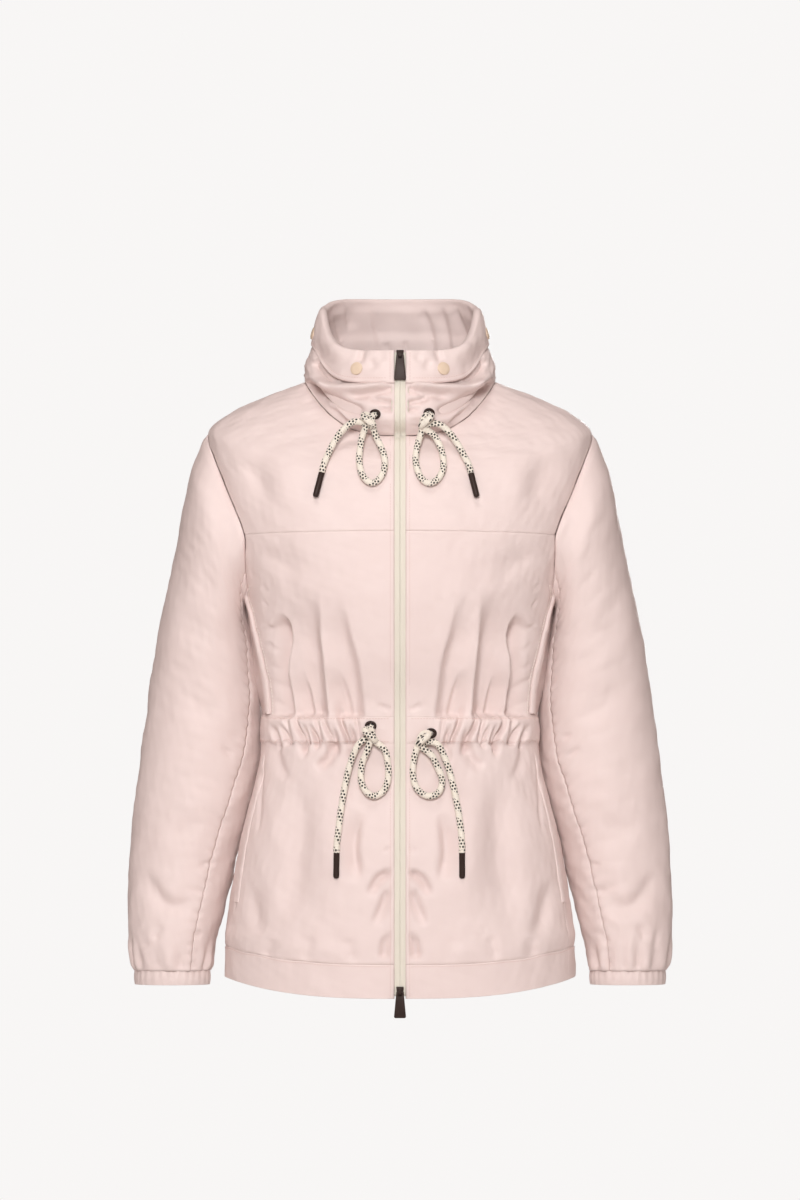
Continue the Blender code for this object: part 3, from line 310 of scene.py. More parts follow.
def seamDip(s, seam, width=1.3, depth=0.8):
    return -depth * bell(s, seam, width)


def zipEdge(x, half, depth, line=0.0):  # the cloth dips at its edge beside the zip and along the stitches there
    dip = -depth * bell(x, clothEdge, 0.9) - line * bell(x, stitchLine, 0.8)
    return np.where((x < 12) & (half < 60), dip, 0.0)


def bodyLift(a, s, p):
    half, side = halves(a)
    x, z = frontView(p)
    x = np.abs(x)
    front, back = ease((94 - half) / 8), ease((half - 86) / 10)
    upper, lower = ease((s - 296) / 9), ease((277 - s) / 9)
    channel = ease((s - 268) / 7) * ease((305 - s) / 7)
    offZip = ease((x - 8) / 9)
    held = 1 - 0.7 * ease((x - 131) / 13)  # the folds run out before the pleat's edge
    chest = tableLift(x, z, side, chestCreases) + held * tableLift(x, z, side, chestSteps, bodyLook["chestGain"])
    folds = upper * chest * ease((516 - s) / 14)
    folds = folds + ease((s - 504) / 30) * tableLift(x, z, side, yokeCreases)
    folds = folds + lower * ease((s - 34) / 9) * tableLift(x, z, side, skirtCreases, bodyLook["skirtGain"])
    folds = folds + tableLift(x, z, side, gatherTable(), bodyLook["waistGain"]) * ease((x - 40) / 8)
    folds = folds + (1.4 + 0.8 * bell(s, 288, 9)) * channel * ease((x - 30) / 14)
    folds = folds + bodyLook["hemRoll"] * bell(s, 52, 11) * ease((x - 20) / 40)  # the skirt rolls over the hem seam
    u = half * bodyDegree
    rear = tableLift(u, s, side, backCreases, bodyLook["backGain"])
    rear = rear + bodyLook["underarm"] * bell(half, 92, 11) * ease((s - 296) / 40) * ease((447 - s) / 18)
    pucker = np.sin(u * 0.62 + 2.2 * np.sin(u * 0.083)) * (0.7 + 0.3 * np.sin(u * 0.21 + side))
    rear = rear + channel * (1.2 + 1.9 * pucker)
    rear = rear + 1.4 * pucker * (np.exp(-np.abs(s - 305) / 14) * upper + np.exp(-np.abs(268 - s) / 9) * lower)
    crumple = 0.35 * ripple(u * side, s, 34, 3) + 0.16 * ripple(u * side, s, 13, 8)
    dips = seamDip(s, hemSeam) + seamDip(s, channelLow, 1.3, 0.3) + seamDip(s, channelTop, 1.3, 0.1)
    dips = dips + front * seamDip(s, yokeSeam, 1.2, 0.6) + seamDip(s, neckSeam, 1.6, 0.5)
    return (front * folds + crumple) * offZip + back * rear + dips + zipEdge(x, half, 0.7, 0.35)


def seamWander(a, s):  # the gathered seams are not quite straight
    half, side = halves(a)
    u = half * bodyDegree + np.where(side < 0, 7.0, 0.0)
    sway = np.sin(u * 0.61) + 0.8 * np.sin(u * 0.37 + 1.0)
    waist = sway * (1.3 * bell(s, channelLow, 9) + 0.5 * bell(s, channelTop, 9))
    hem = 0.6 * np.sin(u * 0.11) * bell(s, hemSeam, 16)
    return (waist + hem) * ease((u - 62) / 30)


def bodyShape(a, s, lift=0.0):
    a, s = spread(a, s)
    s = s + seamWander(a, s)
    base, out = surface(torso, a, s)
    return base + out * (bodyLift(a, s, base) + lift)[..., None], out


class Sock:  # a socket that takes part in sums
    def __init__(self, tree, socket):
        self.tree, self.socket = tree, socket

    def node(self, kind, settings=None, inputs=None, output=0):
        made = self.tree.nodes.new(kind)
        for key, value in (settings or {}).items():
            setattr(made, key, value)
        for key, value in (inputs or {}).items():
            if isinstance(value, Sock):
                self.tree.links.new(value.socket, made.inputs[key])
            else:
                made.inputs[key].default_value = value
        return Sock(self.tree, made.outputs[output])

    def math(self, operation, a, b=0.0):
        return self.node("ShaderNodeMath", {"operation": operation}, {0: a, 1: b})

    def __add__(self, other): return self.math("ADD", self, other)
    def __radd__(self, other): return self.math("ADD", other, self)
    def __sub__(self, other): return self.math("SUBTRACT", self, other)
    def __rsub__(self, other): return self.math("SUBTRACT", other, self)
    def __mul__(self, other): return self.math("MULTIPLY", self, other)
    def __rmul__(self, other): return self.math("MULTIPLY", other, self)
    def __mod__(self, other): return self.math("FLOORED_MODULO", self, other)
    def __rmod__(self, other): return self.math("FLOORED_MODULO", other, self)
    def __lt__(self, other): return self.math("LESS_THAN", self, other)
    def __gt__(self, other): return self.math("GREATER_THAN", self, other)

    def sine(self):
        return self.math("SINE", self)

    def floor(self):
        return self.math("FLOOR", self)


def newMaterial(name, fixed):
    material = bpy.data.materials.new(name)
    material.use_nodes = True
    shader = material.node_tree.nodes["Principled BSDF"]
    for key, value in fixed.items():
        shader.inputs[key].default_value = value
    return material, shader, Sock(material.node_tree, None)


def feed(shader, name, sock):
    sock.tree.links.new(sock.socket, shader.inputs[name])


def surfaceUv(flow):
    split = flow.node("ShaderNodeSeparateXYZ", None, {0: flow.node("ShaderNodeUVMap", {"uv_map": "UVMap"})})
    return [Sock(flow.tree, split.socket.node.outputs[k]) for k in range(2)]


def noise(flow, scale, detail):
    place = flow.node("ShaderNodeTexCoord", None, None, 3)
    return flow.node("ShaderNodeTexNoise", None, {"Vector": place, "Scale": scale, "Detail": detail})


def waves(sock, length):  # a sine along a coordinate, one wave in the given length
    return (sock * (math.tau / length)).sine()


def mixColour(factor, low, high):
    return factor.node("ShaderNodeMix", {"data_type": "RGBA"}, {0: factor, 6: low, 7: high}, 2)


def raised(shader, height, strength, distance):
    bump = height.node("ShaderNodeBump", None, {"Strength": strength, "Distance": distance, "Height": height})
    feed(shader, "Normal", bump)


clothLook = {"light": (0.775, 0.648, 0.618, 1), "deep": (0.735, 0.60, 0.57, 1), "rough": 0.56, "weave": 0.00042,
             "crumple": 80.0, "cloud": 12.0, "bump": (0.2, 0.001),
             "fixed": {"Sheen Weight": 0.06, "Sheen Roughness": 0.45, "Sheen Tint": (1.0, 0.9, 0.87, 1),
                       "Specular IOR Level": 0.35}}


def clothMaterial(name, look):
    material, shader, flow = newMaterial(name, look["fixed"])
    u, v = surfaceUv(flow)
    warp = waves(u, look["weave"]) * waves(v, look["weave"])
    crumple, cloud = noise(flow, look["crumple"], 4.0), noise(flow, look["cloud"], 3.0)
    tone = cloud * 0.7 + crumple * 0.3 + warp * 0.05
    feed(shader, "Base Color", mixColour((tone - 0.25) * 1.6, look["deep"], look["light"]))
    feed(shader, "Roughness", crumple * 0.12 + (look["rough"] - 0.06))
    raised(shader, crumple * 0.9 + warp * 0.05, *look["bump"])
    return material


tapeLook = {"light": (0.74, 0.69, 0.595, 1), "deep": (0.67, 0.62, 0.53, 1), "rib": 0.0011, "pick": 0.0007,
            "slant": 900.0, "bump": (0.35, 0.0003)}


def tapeMaterial(name, look):
    material, shader, flow = newMaterial(name, {})
    u, v = surfaceUv(flow)
    ribs = waves(u, look["rib"]) * 0.5 + 0.5
    picks = (v * (math.tau / look["pick"]) + u * look["slant"]).sine() * 0.5 + 0.5
    tone = ribs * 0.6 + picks * 0.4
    # the deep colour is painted shade in the low ribs and picks of the weave, where the bump is low
    feed(shader, "Base Color", mixColour(tone, look["deep"], look["light"]))
    feed(shader, "Roughness", 0.78 - tone * 0.14)
    raised(shader, tone, *look["bump"])
    return material


metalLook = {"base": (0.026, 0.0135, 0.0105, 1), "worn": (0.052, 0.031, 0.025, 1), "rough": 0.46,
             "bump": (0.12, 0.0002), "fixed": {"Metallic": 0.1, "Specular IOR Level": 0.22}}
snapLook = {"base": (0.72, 0.565, 0.43, 1), "worn": (0.66, 0.505, 0.375, 1), "rough": 0.42,
            "bump": (0.12, 0.0002), "fixed": {"Metallic": 0.0, "Specular IOR Level": 0.22}}


def metalMaterial(name, look):
    material, shader, flow = newMaterial(name, look["fixed"])
    fleck, broad = noise(flow, 900.0, 3.0), noise(flow, 160.0, 2.0)
    feed(shader, "Base Color", mixColour(broad * fleck, look["base"], look["worn"]))
    feed(shader, "Roughness", fleck * 0.18 + (look["rough"] - 0.09))
    raised(shader, fleck, *look["bump"])
    return material


cordLook = {"ivory": (0.83, 0.765, 0.675, 1), "shade": (0.75, 0.675, 0.575, 1), "dots": (0.02, 0.016, 0.014, 1),
            "pitch": 0.0215, "share": 0.60, "dotsRound": 6.0, "dotStep": 0.0036, "dotSize": 0.34,
            "strands": 8, "strandPitch": 0.0052, "bump": (0.5, 0.0005), "fixed": {"Sheen Weight": 0.2}}


def cordMaterial(name, look):
    material, shader, flow = newMaterial(name, look["fixed"])
    u, v = surfaceUv(flow)
    patch = ((v * (1 / look["pitch"]) + u) % 1.0) < look["share"]
    row = v * (1 / look["dotStep"])
    shift = (row.floor() % 2.0) * 0.5
    across = (u * look["dotsRound"] + shift) % 1.0 - 0.5
    along = row % 1.0 - 0.5
    dot = (across * across + along * along) < look["dotSize"] ** 2
    around, climb = u * (look["strands"] * math.tau), v * (math.tau / look["strandPitch"])
    strands = ((around + climb).sine() * (around - climb).sine()) * 0.5 + 0.5
    # the shade colour is painted shade in the grooves between the braid's strands, where the bump is low
    ground = mixColour(strands, look["shade"], look["ivory"])
    feed(shader, "Base Color", mixColour(patch * dot, ground, look["dots"]))
    feed(shader, "Roughness", 0.86 - strands * 0.08)
    raised(shader, strands, *look["bump"])
    return material


threadLook = {"light": (0.74, 0.575, 0.535, 1), "deep": (0.60, 0.44, 0.405, 1)}
paleThreadLook = {"light": (0.86, 0.78, 0.73, 1), "deep": (0.74, 0.63, 0.58, 1)}


def threadMaterial(name, look):
    material, shader, flow = newMaterial(name, {})
    twist = noise(flow, 1400.0, 2.0)
    feed(shader, "Base Color", mixColour(twist, look["deep"], look["light"]))
    feed(shader, "Roughness", twist * 0.2 + 0.6)
    return material


finishes = {
    "shell_cloth": clothMaterial("pinkShell", clothLook),
    "zip_tape": tapeMaterial("ivoryTape", tapeLook),
    "dark_metal": metalMaterial("darkMetal", metalLook),
    "snap_cap": metalMaterial("creamCap", snapLook),
    "cord_braid": cordMaterial("dottedBraid", cordLook),
    "thread": threadMaterial("pinkThread", threadLook),
    "pale_thread": threadMaterial("paleThread", paleThreadLook),
}
print("materials:", len(finishes))


def camel(node):  # a node name as a piece name
    first, *rest = node.split("_")
    return first + "".join(word.capitalize() for word in rest)


def addPiece(name, mesh, slotName, nodes=(), body="jacket", finish=None):
    mesh.materials.append(finishes[finish or slotName])
    piece = bpy.data.objects.new(camel(name), mesh)
    scene.collection.objects.link(piece)
    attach(piece, body)
    if nodes:
        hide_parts(*nodes)
    return piece


def runLengths(p):
    return np.concatenate([[0.0], np.cumsum(np.linalg.norm(np.diff(p, axis=0), axis=1))])


def meshFrom(bm, name):
    mesh = bpy.data.meshes.new(name)
    bm.to_mesh(mesh)
    bm.free()
    return mesh


def gridMesh(name, points):  # a sheet from rows of points in millimetres, with its UV map in metres
    rows, columns = points.shape[:2]
    bm = bmesh.new()
    bm.loops.layers.uv.new("UVMap")
    bmesh.ops.create_grid(bm, x_segments=columns - 1, y_segments=rows - 1, size=0.5, calc_uvs=True)
    for face in bm.faces:
        face.smooth = True
    mesh = meshFrom(bm, name)
    mesh.vertices.foreach_set("co", (points * mm).reshape(-1))
    across, up = runLengths(points[rows // 2]) * mm, runLengths(points[:, columns // 2]) * mm
    flat = np.stack(np.meshgrid(across, up), -1).reshape(-1, 2)
    corner = np.empty(len(mesh.loops), np.int32)
    mesh.loops.foreach_get("vertex_index", corner)
    mesh.uv_layers["UVMap"].data.foreach_set("uv", flat[corner].reshape(-1))
    mesh.update()
    return mesh


leastFlat = 0.01


def clothPiece(name, points, held="stretched", thick=0.9, fullness=1.02, slotName="shell_cloth"):
    piece = addPiece(name, gridMesh(name, points), slotName, [name])
    wall = piece.modifiers.new("wall", "SOLIDIFY")
    wall.thickness, wall.offset = thick * mm, -1.0
    longest = [max(runLengths(line)[-1] for line in sheet) for sheet in (points, points.transpose(1, 0, 2))]
    flat = (max(leastFlat, longest[0] * fullness * mm), longest[1] * fullness * mm)
    area = sum(face.area for face in piece.data.polygons)
    min(area * fullness, flat[0] * flat[1])


seamRows = np.array([0.7, 1.6, 2.8])  # closer rows beside a seam, then even ones from seamBand on
seamBand = 4.2


def steps(low, high, size):
    count = max(2, int(round((high - low - 2 * seamBand) / size)) + 1)
    inner = np.linspace(low + seamBand, high - seamBand, count)
    return np.concatenate([[low], low + seamRows, inner, high - seamRows[::-1], [high]])


def mirrored(angles):
    return 360 - angles[:, ::-1]


def bySide(points, side):  # rows of points made for the right, on the given side
    return points if side > 0 else points[:, ::-1] * np.array([-1, 1, 1])


def sideName(side):
    return "right" if side > 0 else "left"


def heldBy(panel):
    return "gathered" if "channel" in panel else "stretched"


def frontAngles(stations, columns, side):
    inner = angleAtX(torso, clothEdge, stations)
    outer = frontEdge(stations)
    share = np.concatenate([[0, 0.006, 0.014, 0.024], np.linspace(0.036, 0.97, columns), [0.982, 0.992, 1.0]])
    angles = inner[:, None] + (outer - inner)[:, None] * share[None, :]
    return angles if side > 0 else mirrored(angles)


frontPanels = {  # low seam, high seam, row step, columns
    "front_yoke": (yokeSeam, neckSeam, 3.0, 84), "front_chest": (channelTop, yokeSeam, 2.3, 100),
    "waist_channel_front": (channelLow, channelTop, 1.4, 190), "front_skirt": (hemSeam, channelLow, 2.6, 92),
    "hem_band_front": (0, hemSeam, 2.6, 84)}
for panel, (low, high, size, columns) in frontPanels.items():
    for side in (1, -1):
        stations = steps(low, high, size)
        angles = frontAngles(stations, columns, side)
        reach = (frontEdge(stations)[:, None] - np.minimum(angles, 360 - angles)) * 3.0
        nearArm = ease((stations - 440) / 12) * ease((618 - stations) / 20)
        dip = -0.9 * bell(reach, 0, 2.2) * nearArm[:, None]
        clothPiece(f"{panel}_{sideName(side)}", bodyShape(angles, stations[:, None], dip)[0], heldBy(panel))
print("fronts made")

pleat = {"tuck": 4.0, "fade": 11.0, "top": 436, "ends": 25}
backPanels = {"back_upper": (channelTop, neckSeam, 3.4, 130), "waist_channel_back": (channelLow, channelTop, 1.8, 300),
              "back_lower": (hemSeam, channelLow, 3.4, 130), "hem_band_back": (0, hemSeam, 3.0, 120)}
for panel, (low, high, size, columns) in backPanels.items():
    stations = steps(low, high, size)
    edge = backEdge(stations)
    share = np.concatenate([[0, 0.004, 0.01], np.linspace(0.018, 0.982, columns), [0.99, 0.996, 1.0]])
    angles = edge[:, None] + (360 - 2 * edge)[:, None] * share[None, :]
    inside = np.minimum(angles, 360 - angles) - edge[:, None]
    opened = ease((stations - channelTop) / pleat["ends"]) * ease((pleat["top"] - stations) / pleat["ends"])
    tuck = ease(1 - inside / pleat["fade"]) * opened[:, None]
    clothPiece(panel, bodyShape(angles, stations[:, None], -pleat["tuck"] * tuck)[0], heldBy(panel))
print("backs made")

strips = {  # lift, first and last angle from the front's edge, low and high station, how much wider below
    "side_pleat_strip": (4.2, (-4.0, 0.6), (304, 446), 2.2),
    "pocket_welt": (1.7, (-2.5, 3.0), (92, 262), 0.0)}


def wider(s):  # the strip of the pleat widens towards the waist
    return ease((420 - s) / 90)


for side in (1, -1):
    for name, (lift, (first, last), rows, widen) in strips.items():
        stations = steps(*rows, 2.4)
        inner = first - widen * wider(stations)
        share, turn = np.linspace(0, 1, 13)[None, :], np.linspace(-1, 1, 13)[None, :]
        angles = frontEdge(stations)[:, None] + inner[:, None] + (last - inner)[:, None] * share
        rounding = np.sqrt(np.maximum(0, 1 - np.abs(turn) ** 4))
        stripLift = -0.4 + lift * rounding * ease((rows[1] - stations) / 16 + 0.2)[:, None]
        points = bodyShape(angles if side > 0 else mirrored(angles), stations[:, None], stripLift)[0]
        clothPiece(f"{name}_{sideName(side)}", points, "folded", 0.7)
print("strips made")

sleeveCreases = [  # by distance from the centre and height, seen from the front
    ([(284, -530), (270, -556), (254, -572), (236, -569), (222, -562)], (12, 8), -5.8, (0.3, 0.35)),
    ([(240, -548), (226, -556), (214, -556)], (4, 6), -2.2, (0.4, 0.2)),
    ([(190, -386), (180, -386)], (3, 2.4), -2.2, (0.5, 0)),
    ([(199, -398), (187, -405)], (3.2, 2.6), -2.4, (0.5, 0)),
    ([(222, -528), (207, -525)], (3, 2.4), -2.4, (0.5, 0)),
    ([(231, -612), (218, -600)], (3.4, 2.6), -2.6, (0.5, 0.2)),
    ([(250, -330), (225, -352), (200, -380)], (14, 16), -3.0, (0.4, 0.4)),
    ([(225, -470), (240, -490), (262, -500)], (12, 14), -2.6, (0.4, 0.4)),
    ([(205, -160), (212, -210), (206, -260)], (14, 16), -2.6, (0.4, 0.4)),
    ([(243, -210), (250, -270), (252, -330)], (14, 14), 2.0, (0.4, 0.4)),
    ([(262, -590), (270, -612)], (5, 4), -2.6, (0.4, 0.2)),
    ([(285, -592), (280, -622)], (4, 4), -2.4, (0.5, 0.2)),
]
sleeveBackCreases = scaled([  # by angle and share of the length, behind
    ([(-40, 0.60), (-110, 0.54)], (12, 14), -5.0, (0.3, 0.3)),
    ([(-30, 0.84), (-120, 0.80)], (9, 11), -4.5, (0.3, 0.3)),
    ([(-60, 0.68), (-125, 0.70)], (8, 9), -3.5, (0.3, 0.3)),
    ([(-70, 0.10), (-100, 0.36)], (14, 14), -3.0, (0.4, 0.4)),
], 1, sleeveLength)


def sleeveRing(ring, angle):
    sine, cosine = np.sin(np.radians(angle)), np.cos(np.radians(angle))
    x = (ring[0] + ring[2]) / 2 + (ring[0] - ring[2]) / 2 * cosine
    z = (ring[1] + ring[3]) / 2 + (ring[1] - ring[3]) / 2 * cosine
    return np.array([x, ring[6] - (ring[4] if sine > 0 else ring[5]) * sine, z])


def turned(angle, start, now):  # an angle after the sleeve's seam has turned from start to now
    size = abs(angle)
    size = size * now / start if size <= start else 180 - (180 - size) * (180 - now) / (180 - start)
    return math.copysign(size, angle)


def armhole():
    down = np.concatenate([np.linspace(612, 510, 30), np.linspace(508, 470, 12), np.linspace(466, 436, 14)])
    up = np.concatenate([np.array([437, 438, 439, 441, 444, 448, 452, 458]), np.linspace(466, 608, 46)])
    corners = [(s, float(frontEdge(s))) for s in down] + [(s, float(backEdge(s))) for s in up]
    points = np.array([ringPoint(torso, a, s) for s, a in corners])
    lengths = np.linalg.norm(np.roll(points, -1, 0) - points, axis=1)
    run = np.concatenate([[0], np.cumsum(lengths)])
    under = len(down) + 2
    angles = [180 * run[i] / run[under] for i in range(under + 1)]
    angles += [-180 * (run[-1] - run[i]) / (run[-1] - run[under]) for i in range(under + 1, len(points))]
    frontSeam = int(np.argmin(np.abs(down - 470)))
    backSeam = len(down) + int(np.argmin(np.abs(up - 466)))
    return points, np.array(angles), frontSeam, backSeam


def sleeveGrid(side, rows=190):
    points, angles, frontSeam, backSeam = armhole()
    share = np.linspace(0, 1, rows)
    lines, last = [], []
    for point, angle in zip(points, angles):
        start = abs(angles[frontSeam] if angle >= 0 else angles[backSeam])
        knots = np.array([point] + [sleeveRing(r, turned(angle, start, r[7])) for r in sleeve])
        run = runLengths(knots)
        lines.append(np.stack([smoothThrough(run, knots[:, k], share * run[-1]) for k in range(3)], -1))
        last.append(turned(angle, start, 120.0))
    grid, last = np.array(lines), np.array(last)
    for _ in range(3):  # evens out the joints between the sections
        grid[:, 1:-1] = grid[:, 1:-1] * 0.5 + (grid[:, :-2] + grid[:, 2:]) * 0.25
    around = np.roll(grid, -1, 0) - np.roll(grid, 1, 0)
    down = np.gradient(grid, axis=1)
    out = unit(np.cross(around, down))
    x, z = frontView(grid)
    facing = ease((0.25 - out[..., 1]) / 0.5)
    both = np.full(x.shape, side)
    lift = facing * tableLift(x, z, both, sleeveCreases)
    angle, along = np.broadcast_to(last[:, None], x.shape), np.broadcast_to(share[None, :] * sleeveLength, x.shape)
    lift = lift + (1 - facing) * tableLift(angle, along, both, sleeveBackCreases, 1.4)
    wave = np.radians(angle)
    pucker = np.sin(wave * 14 + 1.6 * np.sin(wave * 3 + side)) * (0.75 + 0.35 * np.sin(wave * 5 + 1.0 + side))
    lift = lift + 3.0 * pucker * ease((along - 538) / 44) * ease((592 - along) / 10)
    lift = lift + 2.6 * ease((along - 1) / 7) * np.exp(-along / 24)  # the head stands a little over the seam
    crumple = 0.5 * ripple(angle * 1.2, along, 46, 12 + side) + 0.22 * ripple(angle * 1.2, along, 17, 22 + side)
    lift = lift + crumple * ease(along / 20)
    for seam in (angle[frontSeam, 0], angle[backSeam, 0]):
        off = np.abs(angle - seam) * 0.9
        lift = lift - 1.1 * bell(off, 0, 1.6) * ease(along / 10)
        lift = lift + 0.8 * np.sin(along * 0.42 + side) * bell(off, 0, 6) * ease(along / 30)
    final = grid + out * lift[..., None]
    final[:, 0] = grid[:, 0]
    return final, frontSeam, backSeam


def finePoints(grid, count):  # spreads the columns of a sleeve piece more evenly
    run = runLengths(grid[:, grid.shape[1] // 2])
    place = np.linspace(0, run[-1], count)
    flat = grid.reshape(len(grid), -1)
    even = [np.interp(place, run, flat[:, k]) for k in range(flat.shape[1])]
    return np.stack(even, -1).reshape(count, *grid.shape[1:])


cuffLook = {"height": 15.5, "gathers": 30, "depth": 0.4}


def cuffPoints(look, side):
    end, height = sleeve[-1], look["height"]
    angles = np.linspace(-179.9, 179.9, 241)
    ring = np.array([sleeveRing(end, a) for a in angles])
    out = unit(ring - np.array([(end[0] + end[2]) / 2, end[6], end[1]]))
    wave = np.radians(angles)
    gather = np.sin(wave * look["gathers"] + 0.9 * np.sin(wave * 4 + side))
    rows = []
    for drop in np.concatenate([[0, 0.6, 1.4], np.linspace(2.4, height - 1.6, 9), [height - 0.6, height]]):
        share = drop / height
        lift = 0.9 * math.sin(math.pi * share) - 1.5 + look["depth"] * gather * (1 - 0.55 * share)
        rows.append(ring + out * lift[:, None] - np.array([0, 0, drop]))
    return np.array(rows)[::-1]


for side in (1, -1):
    grid, frontSeam, backSeam = sleeveGrid(side)
    top = np.concatenate([grid[backSeam:], grid[:frontSeam + 1]])
    under = grid[frontSeam:backSeam + 1]
    for name, part, count in (("sleeve_top", top, 112), ("sleeve_under", under, 44)):
        points = finePoints(part, count).transpose(1, 0, 2)[::-1]
        clothPiece(f"{name}_{sideName(side)}", bySide(points, side))
    clothPiece(f"cuff_{sideName(side)}", bySide(cuffPoints(cuffLook, side), side), "gathered", 1.2)
print("sleeves made")

funnelCreases = [  # by distance from the centre front and height
    ([(105, 2), (88, -9), (77, -14), (56, -24), (36, -29)], (9, 4.6), -9.5, (0.12, 0.3)),
    ([(94, 8), (79, -3), (52, -4), (31, -2), (11, 1)], (5, 5), 5.6, (0.2, 0.15)),
    ([(60, -11), (38, -9), (11, -4)], (5, 2.6), -5.0, (0.3, 0)),
    ([(36, -13), (22, -16), (9, -19)], (4.5, 2.4), -4.2, (0.35, 0)),
    ([(24, -25), (9, -27)], (3, 2), -3.2, (0.4, 0)),
    ([(92, 28), (82, 14), (68, 5)], (4.5, 5), -9.0, (0.1, 0.3)),
    ([(74, 3), (52, 7), (30, 4)], (4, 3), -4.2, (0.3, 0.3)),
    ([(100, 16), (90, 2), (72, -8)], (4, 5), 3.6, (0.3, 0.3)),
    ([(92, -8), (70, -26), (46, -40), (30, -46)], (6, 6), 2.6, (0.3, 0.3)),
    ([(84, -22), (66, -36), (50, -44)], (4, 3), -2.4, (0.4, 0.4)),
]
funnelBackCreases = scaled([  # by angle and station
    ([(92, 30), (130, 24), (175, 28)], (4, 6), -3.2, (0.2, 0.2)),
    ([(100, 44), (140, 48), (170, 44)], (4, 5), -3.0, (0.2, 0.2)),
    ([(96, 38), (150, 36)], (4, 4), 3.0, (0.2, 0.2)),
    ([(110, 14), (160, 12)], (4, 5), -2.6, (0.2, 0.2)),
], collarDegree)
bandCreases = [  # on the band's outside
    ([(41, 40), (43, 30), (46, 23)], (3.0, 5), -4.2, (0, 0.3)),
    ([(33, 31), (30, 22), (27, 13)], (5, 5), -3.0, (0.4, 0.4)),
    ([(72, 46), (62, 34), (52, 28)], (6, 8), 2.2, (0.3, 0.4)),
    ([(96, 46), (80, 26), (60, 14)], (9, 10), -3.6, (0.3, 0.4)),
    ([(22, 36), (17, 24)], (4, 5), -1.6, (0, 0.5)),
]
innerCreases = [  # inside the back of the collar, by x and height as seen from the front
    ([(25, 86), (33, 69), (38, 50), (40, 30)], (2.6, 7), 2.6, (0.2, 0)),
    ([(46, 88), (51, 74), (58, 42), (60, 25)], (2.6, 7), 2.6, (0.2, 0)),
    ([(63, 86), (72, 66), (78, 50)], (2.6, 7), 2.6, (0.2, 0.2)),
    ([(-77, 80), (-66, 42)], (8, 2.8), 3.2, (0.3, 0)),
    ([(-62, 90), (-57, 58)], (9, 2.8), 2.6, (0.4, 0.4)),
    ([(-33, 90), (-22, 36)], (12, 2.8), 2.3, (0.5, 0)),
    ([(-17, 47), (-13, 38)], (3, 3), 1.6, (0.3, 0)),
    ([(6, 50), (7, 36)], (3, 3), 1.6, (0.3, 0)),
]


def collarAngles(stations, columns):
    inner = angleAtX(collar, clothEdge, stations)
    even = np.linspace(0.014, 0.986, columns)
    share = np.concatenate([[0, 0.002, 0.005, 0.009], even, [0.991, 0.995, 0.998, 1.0]])
    return inner[:, None] + (360 - 2 * inner)[:, None] * share[None, :]


funnelLook = {"gain": 1.8, "top": 64, "columns": 250}


def funnelLift(a, s, p):
    half, side = halves(a)
    x, z = frontView(p)
    x = np.abs(x)
    front, back = ease((96 - half) / 12), ease((half - 84) / 12)
    lift = front * tableLift(x, z, side, funnelCreases, funnelLook["gain"]) * ease((x - 7) / 5)
    lift = lift + back * tableLift(half * collarDegree, s, side, funnelBackCreases)
    lift = lift + 0.5 * ripple(half * collarDegree * side, s * 2, 24, 5) * ease((x - 9) / 6)
    return lift * ease(s / 7) + zipEdge(x, half, 0.6, 0.35) + seamDip(s, 0, 1.6, 0.5)


def funnelShape(a, s):
    a, s = spread(a, s)
    base, out = surface(collar, a, s)
    lift = funnelLift(a, s, base) * ease((66 - s) / 12) - 1.2 * ease((s - 54) / 8)
    return base + out * lift[..., None], out


stations = np.concatenate([[0, 0.8, 1.8], np.linspace(3, funnelLook["top"], 40)])
angles = collarAngles(stations, funnelLook["columns"])
clothPiece("collar_funnel", funnelShape(angles, stations[:, None])[0], "gathered")

bandLook = {"lift": 2.4, "sides": 1.7, "flare": 5.5, "roll": 3.4, "edge": 57.2, "stitches": 62.6, "top": 94.0,
            "insideTo": 22.0, "columns": 250}


def sideShare(half):  # 1 at the sides of the collar, 0 in front and behind
    return bell(half, 90, 26)


def bandAngles(s):
    return collarAngles(np.array([s]), bandLook["columns"])[0]


def bandOutside(a, s):  # the band's outer face
    a, s = spread(a, s)
    base, out = surface(collar, a, s)
    half, side = halves(a)
    x, z = frontView(base)
    x = np.abs(x)
    lift = bandLook["lift"] + bandLook["sides"] * sideShare(half) * ease((s - 62) / 30)
    lift = lift + 1.6 * np.sin(math.pi * np.clip((s - 58) / 40, 0, 1)) * ease((x - 6) / 8)
    lift = lift + ease((96 - half) / 12) * tableLift(x, z, side, bandCreases)
    lift = lift + 0.3 * ripple(half * collarDegree * side, s, 22, 31)
    lift = lift + bandLook["flare"] * bell(half, 57, 16) * ease((s - 62) / 32)  # it leans out beside the front snaps
    lift = lift + seamDip(s, bandLook["edge"], 0.7, 1.3) + seamDip(s, bandLook["stitches"], 0.9, 0.45)
    return base + out * (lift + zipEdge(x, half, 0.6))[..., None], out


def bandRim():  # the rolled rim, from the outer face over the top
    top = bandLook["top"]
    angles = bandAngles(top)
    outer, out = bandOutside(angles, top)
    base = ringPoint(collar, angles, top)
    share = sideShare(halves(angles)[0])[:, None]
    climb = unit(ringPoint(collar, angles, collar[-1, 0]) - base) * (bandLook["roll"] + 1.5 * share)
    reachOut = np.sum((outer - base) * out, -1, keepdims=True)
    reachIn = bandLook["lift"] + 1.4 * bandLook["sides"] * share
    middle, across = base + out * (reachOut - reachIn) / 2, out * (reachOut + reachIn) / 2
    turns = np.radians(np.linspace(0, 180, 13)[1:-1])
    return [middle + across * math.cos(turn) + climb * math.sin(turn) for turn in turns]


